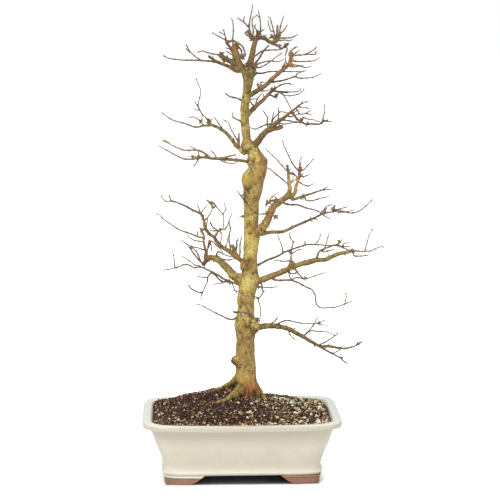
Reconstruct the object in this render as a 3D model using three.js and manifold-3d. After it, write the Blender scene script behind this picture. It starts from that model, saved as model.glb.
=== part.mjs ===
// A leafless trident maple bonsai in a glazed rectangular pot, in millimetres, with +Z up.
// The pot stands on its four feet. The tree is drawn as routes on a front view and grown along them.
import * as THREE from "three";
import { mergeVertices } from "three/addons/utils/BufferGeometryUtils.js";
import Module from "manifold-3d";

const wasm = await Module();
wasm.setup();

// Pot: the rim, the body's profile as how far it lies inside the rim at each height, the floor and the feet
const RIM_HALF_WIDTH = 184;
const RIM_HALF_DEPTH = 137;
const POT_HEIGHT = 116;
const SQUARENESS = 6.5;
const BODY_PROFILE = [[14.5, 39.5], [17, 38.5], [22.5, 38.5], [24, 41], [42, 37], [65, 29.5], [87, 22],
  [99, 18.5], [106.5, 17.5]];
const INNER_PROFILE = [[24, 54], [28, 49], [65, 38.5], [90, 30], [104, 25.5], [110, 19.5], [114.5, 18]];
const LIP_HEIGHT = 9;
const LIP_WIDTH = 18;
const LIP_ROUNDING = 1.5;
const FLOOR_BOTTOM = 14.5;
const FLOOR_TOP = INNER_PROFILE[0][0];
const FOOT_INSET = 40.5;
const FOOT_WALL = 16;
const FOOT_ARCH_FRONT = { bottom: 94, top: 68, height: 13 };
const FOOT_ARCH_SIDE = { bottom: 52, top: 32, height: 13 };
const FOOT_CURVE_SEGMENTS = 5;
const DRAIN_RADIUS = 12;
const DRAIN_SPACING = 140;
const POT_SIDES = 36;

// Drainage screens
const SCREEN_SIZE = 38;
const SCREEN_THICK = 1.2;
const SCREEN_HOLES = 3;
const SCREEN_BAR = 4;

// Soil
const SOIL_EDGE_HEIGHT = 112;
const SOIL_MOUND = { height: 30, x: 12, y: 22, acrossReach: 165, depthReach: 122 };
const SOIL_SHOULDER = { height: 11, x: -80, y: 42, reach: 46 };
const GRAIN_RELIEF = 2.4;
const GRAIN_PITCH = 12.5;
const GRAIN_STAGGER = 0.4;

// Gap left between pieces that touch
const GAP = 0.3;

// The front view is 500 units square. It was drawn from EYE, turned and tilted towards the pot.
const EYE = new THREE.Vector3(-115, -3236, 822);
const VIEW_TURN = THREE.MathUtils.degToRad(2.34);
const VIEW_TILT = THREE.MathUtils.degToRad(7.06);
const VIEW_FOCAL = 1759;
const VIEW_MIDDLE = 250;

// Trunk outline on the front view: height line, left edge, right edge, and depth of the centre in mm
const TRUNK_OUTLINE = [
  [412, 236, 259, 20], [404, 233, 261, 20], [397, 232, 262, 20], [391, 232, 262, 20], [385, 231.5, 259, 20],
  [380, 233, 257, 20], [375, 235.5, 255.5, 20], [368, 236.5, 254.8, 20], [360, 236, 254.5, 20],
  [350, 236.5, 254, 19], [340, 237, 253.5, 18], [332, 235.5, 256, 18], [325, 234, 256.5, 18],
  [315, 236.5, 254.5, 17], [305, 238, 254.3, 17], [296, 238.3, 255, 16], [288, 238.3, 257, 15],
  [280, 240, 260, 14], [272, 241.5, 258, 14], [262, 243, 257, 14], [250, 243.5, 258, 15],
  [240, 244, 259.5, 16], [228, 244, 258.5, 17], [214, 244, 258.3, 18], [202, 243.5, 259, 18],
  [194, 243.3, 261.5, 17], [187, 243, 263.2, 16], [180, 241.2, 264.5, 14], [174, 242.5, 265.8, 13],
  [168, 246.5, 267, 13], [160, 247, 267.5, 13], [153, 246, 262, 13], [146, 240.5, 258, 13],
  [139, 243, 251, 12], [130, 241.5, 250, 11], [120, 240.7, 249, 10], [110, 240.5, 249.3, 9],
  [100, 241.2, 249.3, 9], [90, 243, 251, 9], [82, 243.3, 252.5, 9]];
const TRUNK_SIDES = 12;
const FLUTES = { depth: 0.05, around: 3, twist: 0.22 };

// Lumps of the trunk: place on the front view, depth, and half sizes in mm
const TRUNK_LUMPS = [
  { u: 246.5, v: 180, depth: 2, size: [10.5, 12, 22] },
  { u: 261.5, v: 163, depth: 6, size: [12, 12, 17] },
  { u: 234.8, v: 360, depth: 12, size: [6, 7, 10] },
  { u: 247, v: 266, depth: -1, size: [5, 4, 8] },
  { u: 250, v: 230, depth: 2, size: [4.5, 4, 7] }];

// A route's point that strays less than this from a straight line is left out
const STRAIGHT_ENOUGH = 0.8;

// A limb's depth changes slowly near its root and faster towards its tip
const REACH_CURVE = 1.2;

// How many sides a limb has, from a root radius in mm upwards
const LIMB_SIDES = [[5, 8], [2.5, 6], [1.7, 4], [0, 3]];

// Surface roots, as routes: root radius, tip radius, change of depth, then points on the front view
const ROOT_SIDES = 7;
const ROOTS = [
  [9, 3, 30, 242, 382, 232, 388, 224, 391.5, 214, 394, 203, 396, 193, 400],
  [9, 2.6, -17, 242, 386, 235, 392, 227, 397.5, 216, 401.5, 205, 404.5, 194, 408.5, 184, 413],
  [8, 3, -20, 252, 382, 259, 391, 265, 398, 270, 405],
  [9, 4, 48, 250, 380, 252, 384, 256, 388, 258, 392],
  [8, 3, -22, 247, 381, 248, 390, 250, 398, 252, 404]];

// Limbs with their twigs. Each route: root radius, tip radius, change of depth from root to tip in mm,
// then its points on the front view. The first route of a limb starts at the trunk.
const LIMBS = {
  "crown_leader": [
    [8.6, 4, -4, 248, 86, 248.5, 76, 249.5, 66, 251.5, 58, 253.5, 48, 255, 41],
    [3, 2.6, -6, 255, 40, 250, 35, 247.5, 31],
    [1.5, 0.8, -22, 250, 35, 249, 28, 244, 22, 238, 18.5],
    [1, 0.7, 6, 244, 21, 244.5, 16.5],
    [1.3, 0.7, 12, 249, 28, 250.5, 17, 252.5, 5],
    [1.2, 0.7, -14, 253, 34, 252.5, 19, 256.5, 15],
    [1.1, 0.8, 10, 245, 33, 249, 37],
    [3.8, 3, 16, 255, 40, 259, 38, 265, 38.5, 270, 42, 276, 41, 278, 36],
    [2.4, 2, -8, 258, 37, 258, 31.5],
    [1.2, 0.7, 8, 260.5, 34, 260.5, 27, 259.5, 17, 258.5, 11],
    [1, 0.7, -8, 259.5, 17, 256, 15],
    [1.1, 0.8, 16, 260, 34, 260, 32, 264, 29],
    [1.1, 0.8, -14, 260, 34, 263, 36, 266, 35],
    [1.3, 0.9, -16, 256, 36, 257, 31, 254.5, 27, 255.5, 25],
    [2.4, 2, -6, 278, 37, 277.5, 31, 277.5, 25],
    [1.3, 0.7, 12, 278, 35, 279.5, 34, 280, 28, 283.5, 16.5],
    [1.2, 0.7, -18, 280, 34, 283, 31, 287.5, 25],
    [1.4, 0.8, 22, 279, 38, 282, 38, 290, 38, 294, 36.5, 297, 34.5],
    [1.3, 0.7, -14, 276, 38, 274.5, 33, 272, 24, 270.5, 18, 268.5, 16.5],
    [1, 0.7, 8, 273, 31, 271, 31, 269, 26, 268.5, 21],
    [1.9, 1.6, 12, 275, 40, 272, 36],
    [1.8, 1.2, -26, 272, 42, 272, 44, 278, 45, 280, 48, 283, 48, 286, 45, 288, 43],
    [1.3, 0.8, 10, 277, 41, 284, 40, 289, 41, 292, 40],
    [1.2, 0.8, -8, 284, 47, 287, 48, 285, 56],
    [2.2, 1.2, -32, 252, 64, 253, 66, 258, 60, 263, 52, 269, 45],
    [1.6, 0.8, 36, 252, 58, 254, 57, 258, 54, 263, 51, 272, 50, 282, 49],
    [1.6, 0.8, -44, 252, 66, 255, 65, 262, 62.5, 270, 61, 279, 61.5, 284, 59],
    [1.4, 0.8, 42, 252, 69, 255, 68, 261, 67, 267, 64, 272, 60, 282, 53],
    [1.6, 0.8, 56, 252, 73, 256, 73, 262, 73, 268, 72, 275, 71.5, 290, 71.5, 300, 71.5]],
  "crown_left": [
    [4, 2.2, -28, 246, 72, 240, 70, 235, 70, 230, 67, 222, 64, 214, 60, 208, 56.5],
    [1.8, 0.8, -34, 219, 63, 215, 62, 208, 61, 202, 60.5, 190, 60, 180, 60, 173, 59, 167, 57.5, 163.5, 55.5],
    [1.1, 0.8, 10, 203, 60.5, 201, 60, 196, 57, 190, 52, 187, 49.5],
    [1, 0.8, -6, 190, 52, 186.5, 45.5],
    [3.6, 2.8, 22, 236, 70, 236, 63, 228, 60, 222, 57, 219, 54],
    [1.3, 0.8, 18, 221, 56, 219, 55, 212, 53.5, 206, 52, 202, 51, 199, 52],
    [4, 3.2, 8, 241, 72, 240, 66, 236, 58, 234, 47],
    [2, 1.4, -14, 234.5, 51, 229, 46, 225.5, 40.5],
    [1.1, 0.7, -14, 227, 42, 226, 40, 222, 38, 213.5, 33.5],
    [1.1, 0.7, 14, 227, 41, 225, 35, 224, 30.5],
    [0.9, 0.7, -5, 225, 35, 220.5, 32.5],
    [1.3, 0.7, 22, 234, 50, 232.5, 40, 233.5, 30, 232.5, 22, 231.5, 18.5],
    [1.5, 0.9, -30, 227, 42, 232, 41, 238, 43, 242, 46, 244, 50, 246, 56],
    [1.2, 0.8, -8, 236, 43, 237, 45, 241, 50, 242, 56, 243, 60],
    [1.2, 0.8, 8, 231, 49, 226, 48],
    [1.2, 0.8, -10, 233, 55, 226, 51]],
  "limb_right_1": [
    [4.6, 3.2, -48, 246, 97, 250, 95, 255, 92, 260, 89, 266, 85, 272, 79, 280, 72, 286, 67, 290, 62, 291, 51],
    [1.6, 0.9, 10, 282, 70, 283, 67, 285, 62, 286, 57],
    [1.5, 0.7, -22, 290.5, 58, 293, 56, 298, 55, 305, 54.5, 315, 54.5, 315.5, 52.5],
    [1, 0.7, 10, 305, 54.5, 312, 51, 316, 48],
    [1.5, 0.7, 20, 290, 61, 294, 61, 300, 61.5, 312, 61, 316, 60, 320, 57],
    [1.1, 0.8, 8, 290.5, 56, 293, 55, 298.5, 51],
    [1.2, 0.8, -8, 291, 53, 292, 50, 297, 46.5],
    [1.3, 0.8, -18, 288, 65, 292, 65, 297, 65, 304, 66],
    [1.1, 0.8, 10, 289, 66, 293, 67, 299, 66, 304, 67.5, 311, 66.5],
    [1.8, 0.8, 26, 270, 82, 272, 82, 280, 81, 288, 79, 296, 76, 297, 74, 306, 70.5],
    [1.2, 0.8, 12, 295, 76.5, 299, 78, 312, 77.5, 316, 76, 321, 73.5],
    [1.4, 1.2, -8, 260, 89, 258.5, 87, 257.5, 83],
    [1.2, 1, 8, 261, 88, 261, 85, 261, 82, 264, 82],
    [1.3, 0.8, -14, 258, 91, 260, 91, 264, 91, 269, 90.5]],
  "limb_right_2": [
    [4.6, 2.6, 50, 246, 115, 250, 112, 256, 106, 262, 101, 268, 95, 272, 91, 275, 89],
    [1.6, 0.9, 16, 274, 90, 276, 88, 281, 85, 286, 83.5, 290, 83.5, 292, 84.5],
    [1.6, 0.8, -10, 272, 92, 274, 91, 282, 91.5, 290, 92, 298, 91.5, 300, 90.5],
    [1.1, 0.8, 14, 275, 91.5, 278, 92, 287, 93],
    [1.2, 0.8, -16, 279, 91.5, 282, 94, 285, 95.5, 291, 95.5, 299, 94, 303, 91],
    [1.8, 1.1, 10, 269, 94, 270, 95, 274, 97, 277, 98.5],
    [1.1, 0.8, -6, 274, 97, 278, 94],
    [1, 0.8, 12, 281, 93.5, 283, 94, 288, 103, 291, 109],
    [1.4, 0.9, 12, 257, 105, 256, 103, 258, 98, 262, 93],
    [1.3, 0.9, -10, 255, 107, 250, 100, 256, 99]],
  "limb_left_2": [
    [1.8, 1.2, -16, 245, 102, 241, 100, 236, 98, 230, 96.5, 225.5, 93.5]],
  "limb_left_3": [
    [1.8, 1.1, 14, 245, 123, 240, 121, 235, 118.5, 232.5, 116.5, 232, 112.5]],
  "limb_right_3": [
    [7, 1.7, -78, 250, 151, 254, 146, 259, 140, 262, 136, 268, 130, 273, 126, 279, 121, 285, 117, 292, 111,
      299, 105],
    [2.6, 2.1, -8, 270, 129, 272, 129, 280, 128, 283, 126.5],
    [1.5, 0.8, 24, 271, 124, 265, 125, 260, 127, 255, 129, 250, 127.5],
    [1.4, 0.8, 14, 268, 130, 268, 129, 267, 122, 267.5, 118, 263, 110],
    [1.3, 0.7, -14, 272, 126, 272, 120, 273.5, 112],
    [1.2, 0.8, 12, 273, 122, 273, 119, 276, 116, 280, 112, 283, 112, 287, 112.5],
    [1.3, 0.7, 10, 278, 122, 278, 121, 278.5, 113, 278.5, 107.5],
    [1.1, 0.8, -8, 298, 106, 299, 106, 303, 100.5],
    [1.1, 0.8, 10, 299, 105, 308, 101],
    [1.1, 0.8, -16, 297, 107, 299, 107, 304, 107.5, 310, 108.5],
    [1.2, 0.8, 14, 291, 112, 293, 113, 299, 110],
    [1.2, 0.8, -12, 296, 108, 300, 114, 306, 113.5, 311, 110],
    [1, 0.8, 8, 306, 113.5, 312, 115],
    [1.2, 0.8, 10, 287, 115, 290, 117, 300, 114],
    [2, 1.3, 20, 292, 112, 294, 115, 297, 119, 301, 122, 305, 124, 312, 124, 320, 124, 324, 121, 328, 120],
    [1.1, 0.7, 14, 323, 121, 324, 121, 323, 117, 324.5, 113, 324.5, 104.5],
    [1.1, 0.8, -8, 326, 121, 328, 121.5, 332, 121.5],
    [1.2, 0.8, -14, 300, 121, 303, 118, 308, 119, 314, 120, 320, 122],
    [1.4, 0.9, -18, 283, 119, 285, 120, 292, 121, 299, 122, 303, 119],
    [1.2, 0.8, 26, 277, 123, 284, 124, 292, 123, 300, 122.5]],
  "limb_left_4": [
    [4.2, 2.4, 58, 246, 153, 240, 149, 236, 146, 233, 141, 229, 136, 224, 131, 218, 127.5, 212, 125,
      209, 123],
    [1.5, 0.9, -22, 210, 123, 208, 120, 203, 115, 200, 111, 197, 105, 195, 101.5],
    [1, 0.8, 6, 199, 110, 196, 110, 194, 109],
    [1.2, 0.7, 16, 198, 107, 198, 105, 200, 97, 201, 92, 199, 86, 196.5, 80],
    [2, 0.9, 34, 212, 125, 209, 125, 203, 126, 196, 127, 190, 125.5, 183, 123, 176, 121, 170, 118.5, 166, 116,
      162.5, 113.5],
    [1.2, 0.8, -12, 205, 125.5, 201, 123, 199, 120, 194.5, 117, 189, 117.5],
    [1.1, 0.8, 6, 201, 122, 202, 120, 202, 115],
    [1.3, 1, -6, 211, 124.5, 210, 120, 208, 118],
    [1.1, 0.9, 8, 210, 121, 213, 119],
    [1.3, 0.8, -14, 222, 130, 221, 127, 217, 121, 214, 117],
    [1.4, 0.8, 20, 238, 148, 238, 142, 233, 133, 230, 127, 228.5, 123, 223.5, 120],
    [1.8, 1.5, -6, 239, 148, 239, 140, 239, 133]],
  "limb_left_5": [
    [3, 2.3, -54, 250, 164, 248, 162, 240, 160.5, 230, 159.5, 220, 159, 212, 158.5, 206, 157.5, 198, 157],
    [2, 0.8, -22, 210, 158, 205, 153.5, 200, 151, 195, 150, 183, 150, 178, 148, 172, 145, 168, 142.5,
      166, 141],
    [1.2, 0.9, 8, 199, 157, 190, 156.5],
    [1.2, 0.9, 4, 199, 156.5, 198, 151, 195, 149, 191, 146.5],
    [1.8, 0.8, 20, 200, 157, 198, 158, 190, 159.5, 183, 158.5, 173, 154, 166, 150, 159, 146],
    [1.3, 0.9, -8, 199, 158, 197, 162, 195, 165, 193, 167],
    [1.3, 0.9, 10, 217, 158.5, 214, 153.5, 210, 150],
    [1.4, 0.9, -12, 220, 159.5, 222, 161, 228, 163, 234, 163.5, 237, 161.5],
    [1.8, 1.4, 12, 216, 158.5, 224, 157.5, 230, 156, 236, 154.5],
    [1.2, 1.4, 14, 168, 143, 163, 140.5]],
  "limb_right_4": [
    [8.6, 5.2, -42, 252, 240, 256, 234, 262, 228, 267, 221, 270, 214, 274, 206, 281, 201, 288, 196],
    [3.6, 2.3, -6, 286, 197, 290, 190, 289, 183, 288.5, 176, 288, 170, 287.5, 164.5],
    [3.6, 2.3, 14, 288, 196, 294, 194, 296, 187, 298, 181, 299, 178, 299.5, 172],
    [1.6, 0.8, -20, 289, 185, 288, 184, 283, 180, 276, 174, 270, 169, 266, 167.5],
    [1.5, 0.8, 18, 297, 180, 296, 176, 290, 172.5, 286, 170, 281, 164, 272, 155, 265.5, 149],
    [1.5, 0.7, -12, 299.5, 174, 299, 172, 294, 166, 290, 159, 286, 150, 284, 146, 282.5, 140],
    [1.4, 0.9, 8, 299.5, 172, 299.5, 168, 300, 160, 302, 157.5],
    [1.4, 0.8, 16, 299.5, 174, 301, 171, 305, 168.5, 309, 164, 314, 158],
    [1.3, 1, -5, 300, 167, 301, 163],
    [1.4, 0.9, -14, 299, 178, 300, 176, 304, 176.5, 309, 175],
    [1.4, 0.9, 14, 298, 182, 299, 182, 304, 185, 309, 186, 313, 184],
    [1.4, 0.9, -9, 290, 185, 291, 183, 296, 179],
    [1.3, 0.9, 6, 290, 186, 291, 183, 294, 176],
    [2.8, 1, 26, 288, 197, 294, 199, 299, 197.5, 304, 196, 310, 194, 316, 192, 322, 190, 326, 187.5,
      328, 186.5],
    [1.2, 0.8, 8, 320, 190.7, 322, 190, 332, 189],
    [1.5, 0.8, -22, 303, 196.5, 305, 196, 306, 200, 312, 200.5, 318, 199, 323, 198, 329, 196.5],
    [2, 0.9, -34, 283, 200, 284, 203, 291, 204.5, 298, 205, 304, 207, 311, 209, 318, 211, 321, 213],
    [2.2, 1.8, -12, 280, 201, 279, 200, 271, 201, 267, 203, 266, 206],
    [1.2, 0.9, -8, 270, 201, 270, 199, 273, 196, 277, 193],
    [2, 1.6, -6, 270, 214, 266, 213],
    [1.8, 1.2, -8, 271, 215, 276, 217],
    [1.3, 0.8, -14, 268, 215, 265, 214, 258, 214, 252, 213.5]],
  "twig_front": [
    [1.7, 0.9, -24, 257, 219, 255, 213, 249, 206, 244, 200, 241, 196, 237.5, 191],
    [1.1, 0.8, 4, 242, 197.5, 241, 196, 245, 193.5]],
  "stub_left": [
    [2.4, 2, -3, 248, 217, 244, 216.5, 241, 216]],
  "limb_right_4_low": [
    [4, 1, -84, 253, 236, 260, 234, 266, 233, 273, 232, 281, 232, 287, 230, 293, 227, 300, 224, 306, 221.5,
      313, 218.5, 319, 215.5, 322, 213.5, 328, 212.5, 335, 211.5, 343, 211],
    [1.3, 0.8, 10, 321, 214, 322, 212, 325, 208, 327, 206, 332, 204.5],
    [1.1, 0.9, -5, 324, 213, 325, 211, 327, 208],
    [1.5, 1.1, 8, 333, 212, 334, 211, 333, 207, 335, 205.5],
    [1.2, 0.8, 12, 335, 211.5, 336, 210, 342, 208.5, 347, 207],
    [1.1, 0.8, -8, 341, 211, 343, 212.5, 348, 211.5, 355, 210],
    [1.3, 0.7, -18, 342, 211, 350, 213, 356, 212.5, 361, 210, 366, 206, 370, 202, 373, 198.5],
    [1.2, 0.9, 10, 321, 214, 324, 215, 327, 217, 330, 218.5],
    [1.2, 0.9, -8, 312, 219, 316, 219, 318, 221]],
  "limb_right_5": [
    [2.3, 1, 74, 252, 269, 257, 266, 262, 263, 267, 260, 272, 258.5, 278, 256, 284, 252.5, 291, 250, 298, 247,
      305, 245, 312, 244.5, 320, 244.5, 327, 245.5, 335, 246],
    [1.3, 0.8, -12, 284, 252.7, 283, 253, 282, 247, 280, 241, 278, 236],
    [1.2, 0.9, 12, 289, 251, 291, 254, 297, 250, 301, 249.5],
    [1.1, 1.3, 5, 305, 245, 305, 241.5],
    [1.1, 0.8, -10, 313, 244.5, 314, 244.5, 318, 241, 320, 237]],
  "limb_right_6": [
    [6, 3.2, -50, 252, 283, 258, 281, 264, 279, 270, 276.5, 277, 274, 284, 271, 290, 268, 295, 266, 302, 263.5,
      310, 261, 318, 260, 325, 259.5, 330, 257.5, 336, 255, 342, 253, 349, 251.5, 354, 250],
    [5, 4, -8, 291, 267, 292, 262],
    [1.6, 0.8, -14, 292, 263, 291, 260, 291.5, 250, 293, 242, 290, 237, 289.5, 233],
    [1, 0.8, 6, 293, 243, 295, 241.5],
    [1.4, 0.9, 14, 292, 262, 291, 261, 283, 261, 274, 260.5],
    [1.8, 1.5, 7, 286, 270.5, 281, 269],
    [1.8, 1, -18, 294, 266, 295, 268, 298, 273, 302, 278, 305, 280.5],
    [1.4, 0.8, -26, 288, 269, 291, 279, 297, 277.5, 303, 278.5, 309, 278, 314, 276, 318, 274.5,
      325, 272.5],
    [1.4, 0.9, 16, 289, 268.5, 290, 273, 297, 272.5, 299, 270],
    [2, 1, 28, 314, 260.5, 316, 259, 319, 252, 322, 250, 326, 248, 331, 246.5, 336, 245, 344, 248, 349, 250],
    [1.3, 0.8, 8, 323, 249.5, 324, 250, 327, 241, 328.5, 235, 329.5, 232.5],
    [1.2, 0.8, -8, 335, 245.3, 336, 245, 340, 242, 342.5, 238.5],
    [1.2, 0.8, 10, 337, 245.5, 344, 246.5, 350, 246.5],
    [1.1, 0.8, -6, 343, 246.4, 343.5, 244, 347, 242.5],
    [1.2, 0.9, 14, 322, 250, 323, 252, 329, 250.5, 333, 249.5],
    [1.7, 0.8, -22, 352, 250.5, 354, 250.5, 360, 251.5, 366, 251, 370, 251, 375, 248.5, 380, 247, 382, 247],
    [1.1, 0.7, 12, 364, 251.2, 365, 250, 367, 243, 369, 236, 371, 231.5],
    [1.4, 0.9, 8, 352, 250.8, 353, 253, 354, 256, 360, 256, 366, 255.5, 369, 255],
    [1.5, 1, 14, 302, 263.5, 304, 265, 310, 264, 316, 262],
    [2, 0.9, -56, 270, 277, 274, 279.5, 279, 280.5, 286, 280, 290, 280, 296, 282, 302, 284.5, 307, 287.5,
      312, 290, 315, 295, 315.5, 300, 317, 305, 321, 307.5, 326, 308, 333, 307.5, 339, 306, 345, 304,
      350, 302.5],
    [1.1, 0.8, 6, 344, 304.3, 345, 304, 345.5, 300, 346.5, 297, 346, 295]],
  "twigs_right_low": [
    [1.4, 0.9, -26, 254, 287, 259, 287, 270, 287.5, 278, 286.5]],
  "twigs_right_hanging": [
    [1.6, 0.8, -14, 256, 282, 262, 284, 262, 288, 263, 292, 262, 294, 259, 298, 258, 300, 260, 305,
      260.5, 312, 260, 319, 260, 324],
    [1.1, 0.8, 4, 262.5, 290, 265, 292.5],
    [1.1, 0.8, -3, 259, 298, 255, 298.5]],
  "limb_right_8": [
    [6, 1.2, 88, 250, 329, 254, 328, 260, 327, 267, 326, 275, 326, 282, 327, 290, 329.5, 296, 333, 303, 336.5,
      310, 341, 317, 345, 321, 346.5, 330, 346.5, 340, 348, 346, 348.5, 352, 347, 357, 345, 362, 341],
    [1.6, 0.8, -22, 274, 326, 277, 325, 281, 322, 287, 320.5, 293, 321.5, 300, 323, 306, 323.5, 314, 323.5,
      318, 323],
    [1.1, 0.8, 6, 317, 323, 319, 323, 325.5, 319.5],
    [1.1, 0.8, -6, 318, 323, 319, 324, 328, 325.5],
    [1.6, 0.9, 26, 303, 336.5, 304, 335.5, 309, 331, 314, 324, 316, 320, 318.5, 317],
    [1.3, 0.8, -14, 306, 334, 308, 332, 312, 331, 320, 331.5, 327, 332, 333, 334],
    [1.2, 1.4, 12, 270, 326, 271, 324, 275, 321, 277.5, 317.5],
    [1.3, 0.9, -14, 288, 329, 289, 333, 291, 336, 295, 339.5],
    [1.4, 0.9, -18, 319, 346, 321, 344, 327, 341, 332, 338, 337, 334],
    [2, 1, 28, 318, 345.5, 319, 346.5, 326, 350.5, 333, 354, 340, 358, 345, 362, 348, 364],
    [1.2, 0.8, -8, 331, 353, 332, 353.5, 338, 351, 340, 348],
    [1, 0.8, 5, 340, 358, 341, 358, 343, 357],
    [1.1, 0.8, -4, 356, 345.5, 357, 344, 358, 341.5]],
  "limb_left_6": [
    [4.6, 1.2, -74, 248, 266, 243, 262, 238, 258, 233, 254.5, 227, 250, 222, 247, 217, 242, 214, 237, 211, 235,
      207, 231, 204.5, 226, 204, 221, 202, 215, 200.5, 213.5, 193, 210, 185, 206, 178, 203, 171, 200.5],
    [1, 1.3, 5, 172, 201, 171, 200.5, 169.5, 195],
    [1.1, 0.8, -8, 173, 201.3, 171, 201, 166, 201.5, 163, 199, 162, 197.5],
    [1.2, 0.9, 10, 201, 214, 200.5, 214, 203, 210, 206.5, 206],
    [1.2, 0.9, -9, 200, 213.3, 200, 212, 199, 208, 197.5, 204.5],
    [1.4, 0.8, 12, 204, 221, 208, 217, 211, 212, 213, 207.5],
    [1.4, 1.2, -12, 211, 212, 207, 204, 207, 199.5],
    [1.2, 0.8, 12, 212, 210, 212, 203, 216, 205.5, 215, 207, 219, 211, 223, 215, 223.5, 222, 223, 228],
    [1, 0.8, 5, 223, 215, 223.5, 213, 226, 209, 225, 205],
    [1.8, 0.8, 36, 214, 238, 215, 237, 217, 233, 220, 230, 225, 229, 227.5, 225, 229, 220, 231.5, 214],
    [1.2, 0.8, -10, 219, 231, 220, 231, 221, 234, 221, 240, 220, 243.5],
    [1.2, 0.8, 10, 218, 232, 217, 231, 213, 231, 209, 230],
    [1.1, 1.4, -8, 218, 231, 217, 230, 213, 227, 210, 222],
    [1, 0.9, 4, 206, 228, 207.5, 221],
    [2, 1.7, -8, 236, 257, 236, 256, 234, 250, 232.5, 247],
    [1.6, 0.9, 10, 236, 256, 236, 250, 237, 245, 236.5, 242.5, 238.5, 238],
    [1.6, 0.8, -16, 239, 258.5, 240, 253, 240, 246, 241, 240, 242, 236],
    [1.4, 1.2, 16, 231, 253, 229.5, 245, 229, 240, 229.5, 234, 230.5, 229, 229.5, 224],
    [1.3, 0.8, -12, 226, 249.5, 225, 248, 227, 243, 228, 237]],
  "limb_left_7": [
    [9, 3.6, 62, 247, 281, 240, 278, 234, 276, 230, 271, 225, 266, 220, 261, 214, 258, 209, 258, 205, 262,
      203, 264.5],
    [2.6, 2, 10, 207, 260, 205, 258, 206, 252, 204.5, 246, 203.5, 240, 204, 237, 203, 233, 201, 228],
    [1.8, 0.8, 24, 204, 239, 204, 238, 199, 237, 193, 234.5, 188, 233, 183, 231, 176, 228, 169, 223, 163, 219,
      160, 215.5, 158, 214],
    [1.2, 0.8, 12, 203.5, 242, 203, 242, 197, 241, 193, 239.5, 189, 237.5],
    [1.3, 0.9, -12, 205.5, 250.5, 205, 250, 200, 248.5, 196, 247, 193, 247.5],
    [1, 1.3, 4, 197, 236, 198, 231.5],
    [1.7, 1.3, -14, 204, 265, 204, 264.5, 199, 260, 195, 255, 190, 248],
    [1.5, 1.2, 8, 200, 261, 199, 257, 196, 251, 191, 246.5],
    [1.1, 0.8, -6, 191, 248, 188, 245, 182, 240.5],
    [1.4, 0.9, 16, 207, 258, 209, 240, 211, 246, 212, 252],
    [1.5, 0.8, 30, 208, 248, 211, 241, 218, 247, 223, 252],
    [1.8, 0.9, 14, 216, 259, 216, 256, 222, 259, 230, 260, 236, 258],
    [1.5, 0.9, -12, 217, 258, 218, 252, 225, 255, 232, 257]],
  "limb_left_8": [
    [2.2, 0.8, -80, 245, 286, 229, 281, 224, 279, 218, 275, 210, 271, 203, 268, 199, 267, 194, 267.5, 189, 265,
      184, 264.5, 180, 266.5, 173, 268.5, 168, 269.5, 163, 270.5],
    [1.3, 0.8, 12, 201, 267.5, 200, 266, 195, 265, 190, 261, 186, 258.5, 182, 256],
    [1.1, 0.7, -8, 176, 268, 175, 268, 174.5, 262, 173.5, 255, 172.5, 249.5],
    [1.7, 0.8, 18, 227, 280.5, 227, 281, 223, 282, 219, 279, 215, 275, 211, 273, 208, 277, 207, 282, 205, 287,
      203, 292, 201, 297, 202, 300],
    [1.1, 0.8, -8, 208, 277, 207, 277.5, 203, 277.5, 199, 276.5, 197, 277],
    [1.2, 1.3, 10, 203, 292, 199, 292.5, 194, 290, 191, 288.5, 188.5, 285],
    [1.1, 0.8, 10, 223, 282, 222, 283, 218, 283.5, 214, 284.5],
    [1.3, 0.8, -12, 230, 281.5, 231, 282, 233, 285, 235, 290, 238, 294]],
  "limb_left_9": [
    [3.2, 1, -46, 244, 316, 237, 317, 234, 319, 230, 319, 226, 318, 222, 316, 215, 313, 208, 309, 201, 305,
      197, 304.5]],
  "stub_low_left": [
    [2.2, 1.7, -4, 243, 313, 237, 312.5, 233, 311.5]]
};

// Limbs thicker than this at the root, in mm, have the older bark's colour
const OLD_LIMB = 3;

// Colours
const IVORY_GLAZE = "#dfdbcb";
const SOIL_BROWN = "#4a332a";
const BARK_TAN = "#9c8549";
const LIMB_BROWN = "#8f7048";
const TWIG_BROWN = "#7a6250";
const SCREEN_GREY = "#3c3f3d";

// Solids from rings of points

function loft(rings) {
  const sides = rings[0].length;
  const positions = [];
  const faces = [];
  for (const ring of rings) {
    for (const point of ring) {
      positions.push(point.x, point.y, point.z);
    }
  }
  for (let row = 0; row + 1 < rings.length; row += 1) {
    for (let side = 0; side < sides; side += 1) {
      const next = (side + 1) % sides;
      const a = row * sides + side;
      const b = row * sides + next;
      faces.push(a, b, b + sides, a, b + sides, a + sides);
    }
  }
  const caps = [[rings[0], 0, true], [rings.at(-1), (rings.length - 1) * sides, false]];
  for (const [ring, start, underneath] of caps) {
    const centre = ring.reduce((sum, point) => sum.add(point), new THREE.Vector3()).divideScalar(sides);
    const middle = positions.length / 3;
    positions.push(centre.x, centre.y, centre.z);
    for (let side = 0; side < sides; side += 1) {
      const here = start + side;
      const next = start + (side + 1) % sides;
      faces.push(middle, underneath ? next : here, underneath ? here : next);
    }
  }
  const geometry = new THREE.BufferGeometry();
  geometry.setAttribute("position", new THREE.Float32BufferAttribute(positions, 3));
  geometry.setIndex(faces);
  return geometry;
}

function solid(geometry) {
  const bare = new THREE.BufferGeometry();
  bare.setAttribute("position", geometry.getAttribute("position"));
  bare.setIndex(geometry.getIndex());
  const merged = mergeVertices(bare);
  return new wasm.Manifold(new wasm.Mesh({
    numProp: 3,
    vertProperties: merged.getAttribute("position").array,
    triVerts: Uint32Array.from(merged.getIndex().array)
  }));
}

function largestBody(manifold) {
  return manifold.decompose().reduce((best, body) => (body.volume() > best.volume() ? body : best));
}

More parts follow.
